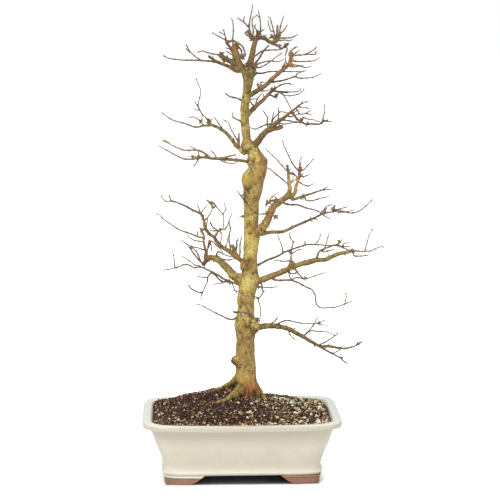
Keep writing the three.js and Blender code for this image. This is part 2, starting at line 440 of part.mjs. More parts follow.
function mesh(name, manifold, color, roughness) {
  const { vertProperties, triVerts } = manifold.getMesh();
  const geometry = new THREE.BufferGeometry();
  geometry.setAttribute("position", new THREE.BufferAttribute(vertProperties, 3));
  geometry.setIndex(new THREE.BufferAttribute(triVerts, 1));
  const material = new THREE.MeshStandardMaterial({ color, roughness, metalness: 0 });
  const made = new THREE.Mesh(geometry, material);
  made.name = name;
  return made;
}

function ellipsoid(centre, size) {
  const geometry = new THREE.SphereGeometry(1, 10, 7);
  geometry.scale(...size);
  geometry.translate(centre.x, centre.y, centre.z);
  return solid(geometry);
}

// Pot

function potRing(inset, z) {
  const halfWidth = RIM_HALF_WIDTH - inset;
  const halfDepth = RIM_HALF_DEPTH - inset;
  const ring = [];
  for (let side = 0; side < POT_SIDES; side += 1) {
    const angle = (side / POT_SIDES) * 2 * Math.PI;
    const x = Math.sign(Math.cos(angle)) * Math.abs(Math.cos(angle)) ** (2 / SQUARENESS);
    const y = Math.sign(Math.sin(angle)) * Math.abs(Math.sin(angle)) ** (2 / SQUARENESS);
    ring.push(new THREE.Vector3(halfWidth * x, halfDepth * y, z));
  }
  return ring;
}

// The opening between two feet: straight on top, with an S curve down to the ground at each end
function archPrism({ bottom, top, height }, reach) {
  const below = -5;
  const low = height * 0.35;
  const high = height * 0.75;
  const shape = new THREE.Shape();
  shape.moveTo(-bottom, below);
  shape.lineTo(bottom, below);
  shape.lineTo(bottom, 0);
  shape.bezierCurveTo(bottom - 8, low, top + 12, high, top, height);
  shape.lineTo(-top, height);
  shape.bezierCurveTo(-top - 12, high, -bottom + 8, low, -bottom, 0);
  const geometry = new THREE.ExtrudeGeometry(shape, {
    depth: 2 * reach,
    bevelEnabled: false,
    curveSegments: FOOT_CURVE_SEGMENTS
  });
  geometry.translate(0, 0, -reach);
  geometry.rotateX(Math.PI / 2);
  return geometry;
}

function makePot() {
  const rimTop = INNER_PROFILE.at(-1)[0];
  const lipBottom = POT_HEIGHT - LIP_HEIGHT;
  const outside = BODY_PROFILE.map(([z, inset]) => potRing(inset, z));
  const lip = [
    potRing(LIP_ROUNDING, lipBottom),
    potRing(0, lipBottom + LIP_ROUNDING),
    potRing(0, rimTop),
    potRing(LIP_ROUNDING, POT_HEIGHT),
    potRing(LIP_WIDTH - LIP_ROUNDING, POT_HEIGHT)
  ];
  const inside = INNER_PROFILE.toReversed().map(([z, inset]) => potRing(inset, z));
  const bowl = solid(loft([...outside, ...lip, ...inside]));
  const skirtOut = solid(loft([potRing(FOOT_INSET, 0), potRing(FOOT_INSET, FLOOR_BOTTOM + 1)]));
  const skirtInset = FOOT_INSET + FOOT_WALL;
  const skirtIn = solid(loft([potRing(skirtInset, -1), potRing(skirtInset, FLOOR_BOTTOM + 2)]));
  const frontArch = solid(archPrism(FOOT_ARCH_FRONT, RIM_HALF_DEPTH));
  const sideArch = solid(archPrism(FOOT_ARCH_SIDE, RIM_HALF_WIDTH).rotateZ(Math.PI / 2));
  let pot = bowl.add(skirtOut.subtract(skirtIn).subtract(frontArch).subtract(sideArch));
  for (const side of [-1, 1]) {
    const drill = new THREE.CylinderGeometry(DRAIN_RADIUS, DRAIN_RADIUS, 4 * FLOOR_TOP, 20);
    drill.rotateX(Math.PI / 2);
    drill.translate((side * DRAIN_SPACING) / 2, 0, 0);
    pot = pot.subtract(solid(drill));
  }
  return pot;
}

// Drainage screens: squares of plastic mesh that lie on the floor over the holes

function boxAt(width, depth, height, x, y, z) {
  const box = new THREE.BoxGeometry(width, depth, height);
  box.translate(x, y, z);
  return solid(box);
}

function makeScreen(side) {
  const middleX = (side * DRAIN_SPACING) / 2;
  const middleZ = FLOOR_TOP + GAP + SCREEN_THICK / 2;
  const pitch = (SCREEN_SIZE - SCREEN_BAR) / SCREEN_HOLES;
  const open = pitch - SCREEN_BAR;
  let screen = boxAt(SCREEN_SIZE, SCREEN_SIZE, SCREEN_THICK, middleX, 0, middleZ);
  for (let row = 0; row < SCREEN_HOLES; row += 1) {
    for (let column = 0; column < SCREEN_HOLES; column += 1) {
      const x = middleX + (column - (SCREEN_HOLES - 1) / 2) * pitch;
      const y = (row - (SCREEN_HOLES - 1) / 2) * pitch;
      screen = screen.subtract(boxAt(open, open, 3 * SCREEN_THICK, x, y, middleZ));
    }
  }
  return screen;
}

function screenPocket(side) {
  const reach = SCREEN_SIZE + 2 * GAP;
  return boxAt(reach, reach, 2 * (SCREEN_THICK + 2 * GAP), (side * DRAIN_SPACING) / 2, 0, FLOOR_TOP);
}

// Front view to space, at a depth behind the pot's middle

function inSpace(u, v, depth) {
  const right = new THREE.Vector3(Math.cos(VIEW_TURN), -Math.sin(VIEW_TURN), 0);
  const ahead = new THREE.Vector3(Math.sin(VIEW_TURN) * Math.cos(VIEW_TILT),
    Math.cos(VIEW_TURN) * Math.cos(VIEW_TILT), -Math.sin(VIEW_TILT));
  const up = right.clone().cross(ahead);
  const sight = ahead.clone().addScaledVector(right, (u - VIEW_MIDDLE) / VIEW_FOCAL)
    .addScaledVector(up, (VIEW_MIDDLE - v) / VIEW_FOCAL);
  return EYE.clone().addScaledVector(sight, (depth - EYE.y) / sight.y);
}

// Trunk with its lumps and surface roots

const UNIT = inSpace(251, 250, 0).distanceTo(inSpace(250, 250, 0));

function trunkMiddle(v) {
  const found = TRUNK_OUTLINE.findIndex(([line]) => line <= v);
  const row = found < 1 ? TRUNK_OUTLINE.length - 1 : found;
  const [v0, left0, right0, depth0] = TRUNK_OUTLINE[row - 1];
  const [v1, left1, right1, depth1] = TRUNK_OUTLINE[row];
  const t = THREE.MathUtils.clamp((v0 - v) / (v0 - v1), 0, 1);
  return {
    u: THREE.MathUtils.lerp((left0 + right0) / 2, (left1 + right1) / 2, t),
    depth: THREE.MathUtils.lerp(depth0, depth1, t)
  };
}

function tube(points, radii, sides) {
  let across = new THREE.Vector3(0.3, 1, 0.2);
  const rings = points.map((point, index) => {
    const before = points[Math.max(0, index - 1)];
    const after = points[Math.min(points.length - 1, index + 1)];
    const along = after.clone().sub(before).normalize();
    across = across.clone().addScaledVector(along, -across.dot(along)).normalize();
    const aside = along.clone().cross(across);
    const ring = [];
    for (let side = 0; side < sides; side += 1) {
      const angle = (side / sides) * 2 * Math.PI;
      ring.push(point.clone().addScaledVector(across, radii[index] * Math.cos(angle))
        .addScaledVector(aside, radii[index] * Math.sin(angle)));
    }
    return ring;
  });
  return solid(loft(rings));
}

function tapered(points, rootRadius, tipRadius, clearance) {
  const last = points.length - 1;
  return points.map((point, index) => clearance + THREE.MathUtils.lerp(rootRadius, tipRadius, index / last));
}

function drawnPoints(route) {
  const points = [];
  for (let index = 3; index < route.length; index += 2) {
    points.push([route[index], route[index + 1]]);
  }
  return points;
}

function makeTrunk(clearance) {
  const rings = TRUNK_OUTLINE.map(([v, left, right, depth], row) => {
    const middle = inSpace((left + right) / 2, v, depth);
    const radius = ((right - left) / 2) * UNIT + clearance;
    const ring = [];
    for (let side = 0; side < TRUNK_SIDES; side += 1) {
      const angle = (side / TRUNK_SIDES) * 2 * Math.PI;
      const wave = Math.sin(FLUTES.around * angle + row * FLUTES.twist) * Math.abs(Math.sin(angle));
      const flute = 1 + FLUTES.depth * wave;
      ring.push(new THREE.Vector3(middle.x + radius * Math.cos(angle),
        middle.y + radius * flute * Math.sin(angle), middle.z));
    }
    return ring;
  });
  let trunk = solid(loft(rings));
  for (const { u, v, depth, size } of TRUNK_LUMPS) {
    trunk = trunk.add(ellipsoid(inSpace(u, v, depth), size.map((half) => half + clearance)));
  }
  for (const route of ROOTS) {
    const [rootRadius, tipRadius, reach] = route;
    const drawn = drawnPoints(route);
    const start = trunkMiddle(drawn[0][1]).depth;
    const last = drawn.length - 1;
    const points = drawn.map(([u, v], index) => inSpace(u, v, start + (reach * index) / last));
    trunk = trunk.add(tube(points, tapered(points, rootRadius, tipRadius, clearance), ROOT_SIDES));
  }
  return trunk;
}

// Limbs: each route starts inside what it grows from, at that one's depth

function sidesFor(radius) {
  return LIMB_SIDES.find(([above]) => radius > above)[1];
}

function nearest(u, v, grown) {
  let best = null;
  for (const line of grown) {
    for (let index = 0; index + 1 < line.length; index += 1) {
      const a = line[index];
      const b = line[index + 1];
      const length2 = (b.u - a.u) ** 2 + (b.v - a.v) ** 2;
      const t = THREE.MathUtils.clamp(((u - a.u) * (b.u - a.u) + (v - a.v) * (b.v - a.v)) / length2, 0, 1);
      const at = {
        u: a.u + t * (b.u - a.u),
        v: a.v + t * (b.v - a.v),
        depth: a.depth + t * (b.depth - a.depth)
      };
      const distance = Math.hypot(at.u - u, at.v - v);
      if (best === null || distance < best.distance) {
        best = { ...at, distance };
      }
    }
  }
  return best;
}

function straightened(line) {
  const kept = [line[0]];
  for (let index = 1; index + 1 < line.length; index += 1) {
    const a = kept.at(-1);
    const b = line[index + 1];
    const { u, v } = line[index];
    const twiceArea = Math.abs((b.u - a.u) * (v - a.v) - (b.v - a.v) * (u - a.u));
    if (twiceArea / Math.hypot(b.u - a.u, b.v - a.v) > STRAIGHT_ENOUGH) {
      kept.push(line[index]);
    }
  }
  return [...kept, line.at(-1)];
}

function growLimb(routes, clearance) {
  const grown = [];
  const tubes = routes.map((route) => {
    const [rootRadius, tipRadius, reach] = route;
    const drawn = drawnPoints(route);
    const [u0, v0] = drawn[0];
    const first = grown.length === 0
      ? { u: u0, v: v0, depth: trunkMiddle(v0).depth }
      : nearest(u0, v0, grown);
    const rest = drawn.filter(([u, v], index) => index > 0 || Math.hypot(u - first.u, v - first.v) > 1);
    const line = straightened([first, ...rest.map(([u, v], index) => ({
      u,
      v,
      depth: first.depth + reach * ((index + 1) / rest.length) ** REACH_CURVE
    }))]);
    grown.push(line);
    const points = line.map(({ u, v, depth }) => inSpace(u, v, depth));
    return tube(points, tapered(points, rootRadius, tipRadius, clearance), sidesFor(rootRadius));
  });
  return wasm.Manifold.union(tubes);
}

// Soil: a mounded bed of grains with the roots' places taken out of it

function soilHeight(x, y) {
  const across = (x - SOIL_MOUND.x) / SOIL_MOUND.acrossReach;
  const back = (y - SOIL_MOUND.y) / SOIL_MOUND.depthReach;
  const mound = SOIL_MOUND.height * Math.max(0, 1 - across ** 2 - back ** 2);
  const fromShoulder = Math.hypot(x - SOIL_SHOULDER.x, y - SOIL_SHOULDER.y) / SOIL_SHOULDER.reach;
  return SOIL_EDGE_HEIGHT + mound + SOIL_SHOULDER.height * Math.exp(-(fromShoulder ** 2));
}

// A steady draw between 0 and 1 for each grain
function draw(column, row) {
  const spread = Math.sin(column * 12.99 + row * 78.23) * 43758.5;
  return spread - Math.floor(spread);
}

function makeGrainyBlock() {
  const width = 2 * RIM_HALF_WIDTH;
  const depth = 2 * RIM_HALF_DEPTH;
  const columns = Math.ceil(width / GRAIN_PITCH);
  const rows = Math.ceil(depth / GRAIN_PITCH);
  const block = new THREE.BoxGeometry(width, depth, SOIL_EDGE_HEIGHT, columns, rows, 1);
  const position = block.getAttribute("position");
  for (let index = 0; index < position.count; index += 1) {
    if (position.getZ(index) > 0) {
      const x = position.getX(index);
      const y = position.getY(index);
      const column = Math.round(x / GRAIN_PITCH);
      const row = Math.round(y / GRAIN_PITCH);
      const onEdge = Math.abs(x) > RIM_HALF_WIDTH - 1;
      const stagger = onEdge ? 0 : (row % 2) * GRAIN_PITCH * GRAIN_STAGGER;
      position.setX(index, x + stagger);
      position.setZ(index, soilHeight(x, y) + (2 * draw(column, row) - 1) * GRAIN_RELIEF);
    }
  }
  return solid(block);
}

function makeSoil(trunkAndRoots) {
  const above = SOIL_EDGE_HEIGHT + SOIL_MOUND.height + SOIL_SHOULDER.height;
  const inside = [...INNER_PROFILE, [above, LIP_WIDTH]]
    .map(([z, inset], index) => potRing(inset + GAP, z + (index === 0 ? GAP : 0)));
  let soil = solid(loft(inside)).intersect(makeGrainyBlock()).subtract(trunkAndRoots);
  for (const side of [-1, 1]) {
    soil = soil.subtract(screenPocket(side));
  }
  return largestBody(soil);
}

// The whole tree

const bonsai = new THREE.Group();
const trunk = makeTrunk(0);
const trunkWithGap = makeTrunk(GAP);
bonsai.add(mesh("pot", makePot(), IVORY_GLAZE, 0.18));
bonsai.add(mesh("drainage_screen_left", makeScreen(-1), SCREEN_GREY, 0.6));
bonsai.add(mesh("drainage_screen_right", makeScreen(1), SCREEN_GREY, 0.6));
bonsai.add(mesh("soil", makeSoil(trunkWithGap), SOIL_BROWN, 0.95));
bonsai.add(mesh("trunk", largestBody(trunk), BARK_TAN, 0.75));
const grownBefore = [trunkWithGap];
for (const [name, routes] of Object.entries(LIMBS)) {
  const limb = grownBefore.reduce((body, other) => body.subtract(other), growLimb(routes, 0));
  grownBefore.push(growLimb(routes, GAP));
  const bark = routes[0][0] > OLD_LIMB ? LIMB_BROWN : TWIG_BROWN;
  bonsai.add(mesh(name, largestBody(limb), bark, 0.8));
}

// The origin goes under the middle of the whole
const middle = new THREE.Box3().setFromObject(bonsai).getCenter(new THREE.Vector3());
bonsai.position.set(-middle.x, -middle.y, 0);

export default bonsai;
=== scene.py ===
import math
import random

import bpy
from mathutils import Matrix, Vector, kdtree, noise


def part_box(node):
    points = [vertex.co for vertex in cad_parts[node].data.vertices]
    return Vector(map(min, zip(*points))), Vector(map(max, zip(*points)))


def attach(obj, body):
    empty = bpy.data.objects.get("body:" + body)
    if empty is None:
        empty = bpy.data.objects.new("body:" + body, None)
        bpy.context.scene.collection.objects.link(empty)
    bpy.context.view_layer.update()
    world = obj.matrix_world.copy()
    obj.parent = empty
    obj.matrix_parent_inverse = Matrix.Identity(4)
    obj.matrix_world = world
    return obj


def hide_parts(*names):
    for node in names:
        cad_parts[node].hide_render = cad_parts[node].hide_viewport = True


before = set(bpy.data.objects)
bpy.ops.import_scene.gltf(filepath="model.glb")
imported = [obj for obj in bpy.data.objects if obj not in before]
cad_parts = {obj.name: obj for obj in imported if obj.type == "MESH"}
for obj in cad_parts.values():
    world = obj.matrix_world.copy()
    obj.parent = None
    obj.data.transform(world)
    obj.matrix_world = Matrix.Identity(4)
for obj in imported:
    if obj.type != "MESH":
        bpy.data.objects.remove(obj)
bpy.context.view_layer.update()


# The front view, 500 units square, on which the whole tree was drawn. The camera stands where
# that view was seen from: 3.2 m in front of the pot, a little to the left, looking slightly down.
MM = 0.001
pot_low, pot_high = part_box("pot")
POT_MIDDLE = Vector(((pot_low.x + pot_high.x) / 2, (pot_low.y + pot_high.y) / 2, 0))
EYE = POT_MIDDLE + Vector((-115, -3236, 822)) * MM
VIEW_TURN = math.radians(2.34)
VIEW_TILT = math.radians(7.06)
VIEW_FOCAL = 1759
VIEW_MIDDLE = 250
VIEW_SIZE = 500
FILM_WIDTH = 36

view_right = Vector((math.cos(VIEW_TURN), -math.sin(VIEW_TURN), 0))
view_ahead = Vector((math.sin(VIEW_TURN) * math.cos(VIEW_TILT),
                     math.cos(VIEW_TURN) * math.cos(VIEW_TILT), -math.sin(VIEW_TILT)))
view_up = view_right.cross(view_ahead)


def in_space(u, v, depth):
    """The place of a point of the front view that lies depth mm behind the pot's middle."""
    across, up = (u - VIEW_MIDDLE) / VIEW_FOCAL, (VIEW_MIDDLE - v) / VIEW_FOCAL
    sight = view_ahead + view_right * across + view_up * up
    return EYE + sight * ((depth * MM + POT_MIDDLE.y - EYE.y) / sight.y)


def on_view(point):
    """Where a point of space falls on the front view."""
    offset = point - EYE
    far = offset.dot(view_ahead)
    return (VIEW_MIDDLE + VIEW_FOCAL * offset.dot(view_right) / far,
            VIEW_MIDDLE - VIEW_FOCAL * offset.dot(view_up) / far)


def add_to_scene(name, data):
    """A new object of the scene with this data."""
    added = bpy.data.objects.new(name, data)
    bpy.context.scene.collection.objects.link(added)
    return added


camera_data = bpy.data.cameras.new("front_view")
camera_data.sensor_width = FILM_WIDTH
camera_data.lens = VIEW_FOCAL / VIEW_SIZE * FILM_WIDTH
camera_data.clip_end = 100
camera = add_to_scene("front_view", camera_data)
turned = Matrix((view_right, view_up, -view_ahead)).transposed()
camera.matrix_world = Matrix.Translation(EYE) @ turned.to_4x4()
bpy.context.scene.camera = camera


# The studio: a white floor, a white surround and four large soft lamps, the strongest from high on the
# left. The floor is painted matt white; nothing of it belongs to the tree.
bpy.context.scene.view_settings.view_transform = "Standard"
SKY_LIGHT = 0.6
SKY_SEEN = 1.0
# Each lamp: place and size in m, power in W
LAMPS = {"key": ((-1.5, -2.1, 2.3), 1.1, 52), "fill": ((1.9, -1.8, 1.3), 1.8, 9),
         "back": ((0.4, 2.2, 2.2), 1.6, 10), "top": ((-0.1, -0.5, 3.0), 1.4, 26)}
LAMP_AIM = Vector((0, 0, 0.35))
FLOOR_REACH = 60
# How bright the floor and how far its shade around the feet, in m, are for the light and for the camera
FLOOR_TONES = (0.5, 0.93)
GLOW_REACHES = (0.27, 0.024)
GLOW = 0.72
FEET_INSET = 0.046
# The painted shadow on the floor at the feet: how far it reaches in m and how dark it is at the feet
PAINTED_SHADOW_REACH = 0.005
PAINTED_SHADOW_TONE = 0.25


def bare_material(name):
    """A new node material: itself, its tree and its main shader."""
    material = bpy.data.materials.new(name)
    material.use_nodes = True
    return material, material.node_tree, material.node_tree.nodes["Principled BSDF"]


def wire(tree, node, sockets):
    """Fills a node's sockets, by name or number, each with a value or another node's output."""
    for socket, value in sockets.items():
        if isinstance(value, bpy.types.NodeSocket):
            tree.links.new(value, node.inputs[socket])
        else:
            node.inputs[socket].default_value = value


def put(tree, kind, sockets=None, **settings):
    """One more node of a material, with its settings and its sockets."""
    made = tree.nodes.new("ShaderNode" + kind)
    for setting, value in settings.items():
        setattr(made, setting, value)
    wire(tree, made, sockets or {})
    return made


def maths(tree, operation, *values):
    """One sum, product or the like of values or outputs."""
    return put(tree, "Math", dict(enumerate(values)), operation=operation).outputs[0]


def for_camera(tree, for_light, for_eye):
    """A value that the camera sees otherwise than the light does."""
    seen = put(tree, "LightPath").outputs["Is Camera Ray"]
    return put(tree, "MapRange", {"Value": seen, "To Min": for_light, "To Max": for_eye}).outputs["Result"]


def deselect():
    """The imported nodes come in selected, and every operator acts on all that is selected."""
    if bpy.context.object and bpy.context.object.mode == "EDIT":
        bpy.ops.object.mode_set(mode="OBJECT")
    bpy.ops.object.select_all(action="DESELECT")


def edit_all():
    """Goes into the mesh of the active piece with all of it selected."""
    bpy.ops.object.mode_set(mode="EDIT")
    bpy.ops.mesh.select_all(action="SELECT")


surround = bpy.data.worlds.new("white_surround")
surround.use_nodes = True
bpy.context.scene.world = surround
sky = surround.node_tree
wire(sky, sky.nodes["Background"], {"Color": (1, 1, 1, 1), "Strength": for_camera(sky, SKY_LIGHT, SKY_SEEN)})

for lamp_name, (place, size, power) in LAMPS.items():
    lamp_data = bpy.data.lights.new("lamp_" + lamp_name, "AREA")
    lamp_data.size = size
    lamp_data.energy = power
    lamp = add_to_scene("lamp_" + lamp_name, lamp_data)
    lamp.location = place
    lamp.rotation_euler = (LAMP_AIM - Vector(place)).to_track_quat("-Z", "Y").to_euler()

deselect()
bpy.ops.mesh.primitive_circle_add(vertices=64, radius=FLOOR_REACH, fill_type="NGON", location=(0, 0, 0))
floor = bpy.context.object
floor.name = "floor"
edit_all()
bpy.ops.mesh.inset(thickness=FLOOR_REACH * 0.9)
bpy.ops.object.mode_set(mode="OBJECT")

# The camera sees a whiter floor than the one that throws light back up at the pot. Away from the feet the
# floor glows faintly, so that it runs into the white surround, and close to them a painted shadow darkens it.
floor_white, tree, shader = bare_material("floor_white")
beside = (pot_high - pot_low) / 2 - Vector((FEET_INSET, FEET_INSET, 0))
away = put(tree, "TexCoord").outputs["Object"]
for operation, value in (("SUBTRACT", POT_MIDDLE), ("ABSOLUTE", (0, 0, 0)),
                         ("SUBTRACT", (beside.x, beside.y, 1)), ("MAXIMUM", (0, 0, 0))):
    away = put(tree, "VectorMath", {0: away, 1: value}, operation=operation).outputs["Vector"]
away = put(tree, "VectorMath", {0: away}, operation="LENGTH").outputs["Value"]
glow = put(tree, "MapRange", {"Value": away, "From Max": for_camera(tree, *GLOW_REACHES)})
# Painted shadow: the floor's colour is darkened where it meets the feet
painted_contact_shadow = put(tree, "MapRange", {"Value": away, "From Max": PAINTED_SHADOW_REACH, "To Min": PAINTED_SHADOW_TONE})
wire(tree, shader, {
    "Base Color": maths(tree, "MULTIPLY", for_camera(tree, *FLOOR_TONES), painted_contact_shadow.outputs["Result"]),
    "Emission Color": glow.outputs["Result"], "Emission Strength": GLOW, "Roughness": 0.7,
    "Specular IOR Level": 0.1})
floor.data.materials.append(floor_white)


# Pot: stoneware with an ivory glaze, a flared rectangular bowl with slightly bowed sides, a rolled lip and
# a double moulding at its foot. Its four bracket feet and its underside are bare clay, where the glaze
# stops short in an uneven line. Two holes in the floor drain it.
RIM_HALF_WIDTH = 184
RIM_HALF_DEPTH = 137
# Each level, from the underside up the outside, over the lip and down the inside:
# height, how far inside the rim, and how square its corners are
POT_LEVELS = [
    (17, 44, 10), (16.8, 41.4, 10), (17.6, 39.8, 10), (18.6, 38.2, 10), (19.8, 36.8, 10), (21.6, 36, 10),
    (24, 36, 10), (26.4, 37.6, 9.5), (28.4, 39.8, 9), (31, 40, 8.5), (38, 37.6, 8), (50, 33.6, 8),
    (62, 29, 7.5), (74, 24.2, 7.5), (85, 20.4, 7), (94, 17.2, 7), (101, 14.4, 7), (107.4, 11.4, 7),
    (108.4, 10, 7), (108.2, 5, 7), (108.3, 1.6, 7.2), (109, 0.4, 7.2), (110.4, 0, 7.2), (114.6, 0.3, 7.2),
    (117, 1, 7.2), (118.2, 2.4, 7.2), (118.6, 4.6, 7.2), (118.5, 11, 7.4), (118.2, 14.6, 7.6),
    (117.2, 16.8, 7.6), (115.2, 18.2, 8), (111.2, 20, 8), (106, 25.5, 8), (90, 30, 8), (65, 38.5, 8),
    (28, 49, 8), (24, 54, 8)]
OUTLINE_STEPS = 160
# The lip and what is near it sag a little between the corners, as tall walls do in the kiln
RIM_SAG = 1.9
SIDE_SAG = 0.4 * RIM_SAG
SAG_FROM = 60
SAG_OVER = 50
FOOT_LEVELS = [
    (0, 40.5, 10), (11.8, 40.5, 10), (12.5, 39.2, 10), (13.5, 38.4, 10), (15.2, 38.4, 10), (16.3, 39.2, 10),
    (17.2, 41, 10), (19, 42.4, 10)]
FOOT_WALL = 56.5
# The opening between two feet, half of it: how far from the middle and how high, as shares of each arch's
# half width and height in mm
ARCH_CURVE = [
    (1, -0.5), (0.99, 0), (0.93, 0.1), (0.86, 0.3), (0.8, 0.55), (0.745, 0.82), (0.71, 0.96), (0.68, 1)]
FRONT_ARCH = (99, 17.3)
SIDE_ARCH = (58, 17.3)
DRAIN_RADIUS = 12
DRAIN_SPACING = 140
# The line where the glaze stops, in m above the ground, is low on the left, higher on the right, and wavers
GLAZE_LINE_LEFT = 0.0128
GLAZE_LINE_RIGHT = 0.0172
# The glaze is painted darker under the lip and on its face as shade, cooler on top of it, and lighter on the
# foot
# moulding as a painted highlight: from and to which height in m, how strongly and in which colour
GLAZE_PAINTED_LIGHT_BANDS = [(0.064, 0.1, 0.9, (202, 194, 176)), (0.106, 0.109, 0.7, (186, 178, 160)),
               (0.1155, 0.1185, 0.9, (218, 222, 212)), (0.0275, 0.0235, 0.7, (240, 234, 217))]


def square_round(angle, half_width, half_depth, squareness):
    """A point of a rectangle with bowed sides and round corners, seen at an angle from its middle."""
    across, along = math.cos(angle), math.sin(angle)
    reach = (abs(across) ** squareness + abs(along) ** squareness) ** (-1 / squareness)
    return half_width * reach * across, half_depth * reach * along


def add_outline(piece, half_width, half_depth, squareness, height):
    """In edit mode, one level outline of the pot, made from a ring of points."""
    bpy.ops.mesh.primitive_circle_add(vertices=OUTLINE_STEPS, radius=1, location=(0, 0, 0))
    bpy.ops.object.mode_set(mode="OBJECT")
    for step, vertex in enumerate(piece.data.vertices[-OUTLINE_STEPS:]):
        x, y = square_round(2 * math.pi * step / OUTLINE_STEPS, half_width, half_depth, squareness)
        vertex.co = Vector((x, y, height)) * MM
    bpy.ops.object.mode_set(mode="EDIT")


def select_rows(piece, first, last):
    """In edit mode, only the outlines from the first to the last one are selected."""
    bpy.ops.mesh.select_mode(type="VERT")
    bpy.ops.mesh.select_all(action="DESELECT")
    bpy.ops.object.mode_set(mode="OBJECT")
    for vertex in piece.data.vertices[first * OUTLINE_STEPS:(last + 1) * OUTLINE_STEPS]:
        vertex.select = True
    bpy.ops.object.mode_set(mode="EDIT")


def close_up():
    """Leaves edit mode with every face turned outwards."""
    bpy.ops.mesh.select_all(action="SELECT")
    bpy.ops.mesh.normals_make_consistent(inside=False)
    bpy.ops.object.mode_set(mode="OBJECT")


def bridged_levels(name, levels):
    """A closed body through level outlines, each (height, inset from the pot's rim, squareness)."""
    deselect()
    bpy.ops.mesh.primitive_circle_add(vertices=OUTLINE_STEPS, radius=1, location=(0, 0, 0))
    piece = bpy.context.object
    piece.name = name
    edit_all()
    bpy.ops.mesh.delete(type="VERT")
    for height, inset, squareness in levels:
        bpy.ops.mesh.select_all(action="DESELECT")
        add_outline(piece, RIM_HALF_WIDTH - inset, RIM_HALF_DEPTH - inset, squareness, height)
    for row in range(len(levels) - 1):
        select_rows(piece, row, row + 1)
        bpy.ops.mesh.bridge_edge_loops()
    for row in (0, len(levels) - 1):
        select_rows(piece, row, row)
        bpy.ops.mesh.edge_face_add()
    close_up()
    return piece


def select_only(*pieces):
    """These pieces are selected and nothing else, and the first one is active."""
    deselect()
    for piece in pieces:
        piece.select_set(True)
    bpy.context.view_layer.objects.active = pieces[0]


def apply_modifier(piece, kind, **settings):
    """One modifier of the piece, set and applied."""
    select_only(piece)
    modifier = piece.modifiers.new(kind.lower(), kind)
    for setting, value in settings.items():
        setattr(modifier, setting, value)
    bpy.ops.object.modifier_apply(modifier=modifier.name)


def cut_away(piece, cutter):
    """Takes the cutter's shape out of the piece and throws the cutter away."""
    apply_modifier(piece, "BOOLEAN", operation="DIFFERENCE", object=cutter, solver="EXACT")
    bpy.data.objects.remove(cutter)


def join_pieces(pieces, name):
    """Several meshes made one, in the first of them, under a new name."""
    select_only(*pieces)
    if len(pieces) > 1:
        bpy.ops.object.join()
    pieces[0].name = name
    return pieces[0]


def set_down(piece, offset):
    """Puts the offset into the mesh, so that the piece's object stays at the origin."""
    select_only(piece)
    piece.location = offset
    bpy.ops.object.transform_apply(location=True, rotation=True, scale=True)


def add_arch(half_width, height, turned):
    """The space between two feet as a long bar with an S curve down to the ground on each side."""
    curve = [(x * half_width, z * height) for x, z in ARCH_CURVE]
    outline = curve + [(-x, z) for x, z in reversed(curve)]
    deselect()
    bpy.ops.mesh.primitive_circle_add(vertices=len(outline), radius=1, fill_type="NGON", location=(0, 0, 0))
    bar = bpy.context.object
    for vertex, (x, z) in zip(bar.data.vertices, outline):
        vertex.co = Vector((x, -RIM_HALF_WIDTH, z)) * MM
    edit_all()
    bpy.ops.mesh.extrude_region_move(TRANSFORM_OT_translate={"value": (0, 2 * RIM_HALF_WIDTH * MM, 0)})
    close_up()
    if turned:
        bar.rotation_euler.z = math.pi / 2
        bpy.ops.object.transform_apply(rotation=True)
    return bar


pot = bridged_levels("pot_glazed", POT_LEVELS)
for vertex in pot.data.vertices:
    x, y, z = vertex.co / MM
    across, along = x / RIM_HALF_WIDTH, y / RIM_HALF_DEPTH
    sag = RIM_SAG * (1 - across ** 2) if abs(along) > abs(across) else SIDE_SAG * (1 - along ** 2)
    vertex.co.z -= sag * min(1, max(0, (z - SAG_FROM) / SAG_OVER)) ** 2 * MM

foot_block = bridged_levels("foot_block", FOOT_LEVELS)
cut_away(foot_block, bridged_levels("hollow", [(-5, FOOT_WALL, 10), (25, FOOT_WALL, 10)]))
cut_away(foot_block, add_arch(*FRONT_ARCH, turned=False))
cut_away(foot_block, add_arch(*SIDE_ARCH, turned=True))
apply_modifier(foot_block, "BEVEL", width=1.2 * MM, segments=3, limit_method="ANGLE",
               angle_limit=math.radians(60))

for side in (-1, 1):
    deselect()
    bpy.ops.mesh.primitive_cylinder_add(vertices=40, radius=DRAIN_RADIUS * MM, depth=60 * MM,
                                        location=(side * DRAIN_SPACING / 2 * MM, 0, 15 * MM))
    cut_away(pot, bpy.context.object)
pot = join_pieces([pot, foot_block], "pot_glazed")
bpy.ops.object.shade_smooth_by_angle(angle=math.radians(38))
set_down(pot, POT_MIDDLE)


def paint(red, green, blue):
    """A colour given on a 0 to 255 scale, as the shaders want it."""
    return tuple((value / 255) ** 2.2 for value in (red, green, blue)) + (1,)


def blend(tree, share, under, over, how="MIX"):
    """Two colours mixed by a share; each may be a plain colour or another node's output."""
    mixed = put(tree, "Mix", {0: share, 6: under, 7: over}, data_type="RGBA", blend_type=how)
    return mixed.outputs[2]


def grain(tree, where, scale, detail=3, rough=0.55, stretch=(1, 1, 1), warp=0):
    """Noise of a given scale over the piece, stretched along an axis if asked."""
    if stretch != (1, 1, 1):
        where = put(tree, "Mapping", {"Vector": where, "Scale": stretch}).outputs["Vector"]
    return put(tree, "TexNoise", {"Vector": where, "Scale": scale, "Detail": detail, "Roughness": rough,
                                  "Distortion": warp}).outputs["Fac"]


def fade(tree, value, low, high, to_low=0, to_high=1):
    """A smooth step from low to high."""
    return put(tree, "MapRange", {"Value": value, "From Min": low, "From Max": high, "To Min": to_low,
                                  "To Max": to_high}, interpolation_type="SMOOTHSTEP").outputs["Result"]


def coats(tree, colour, *layers):
    """A colour with others laid over it in turn: (value, where it is bare, where full, strength, colour)."""
    for value, bare, full, strength, tint in layers:
        colour = blend(tree, fade(tree, value, bare, full, 0, strength), colour, paint(*tint))
    return colour


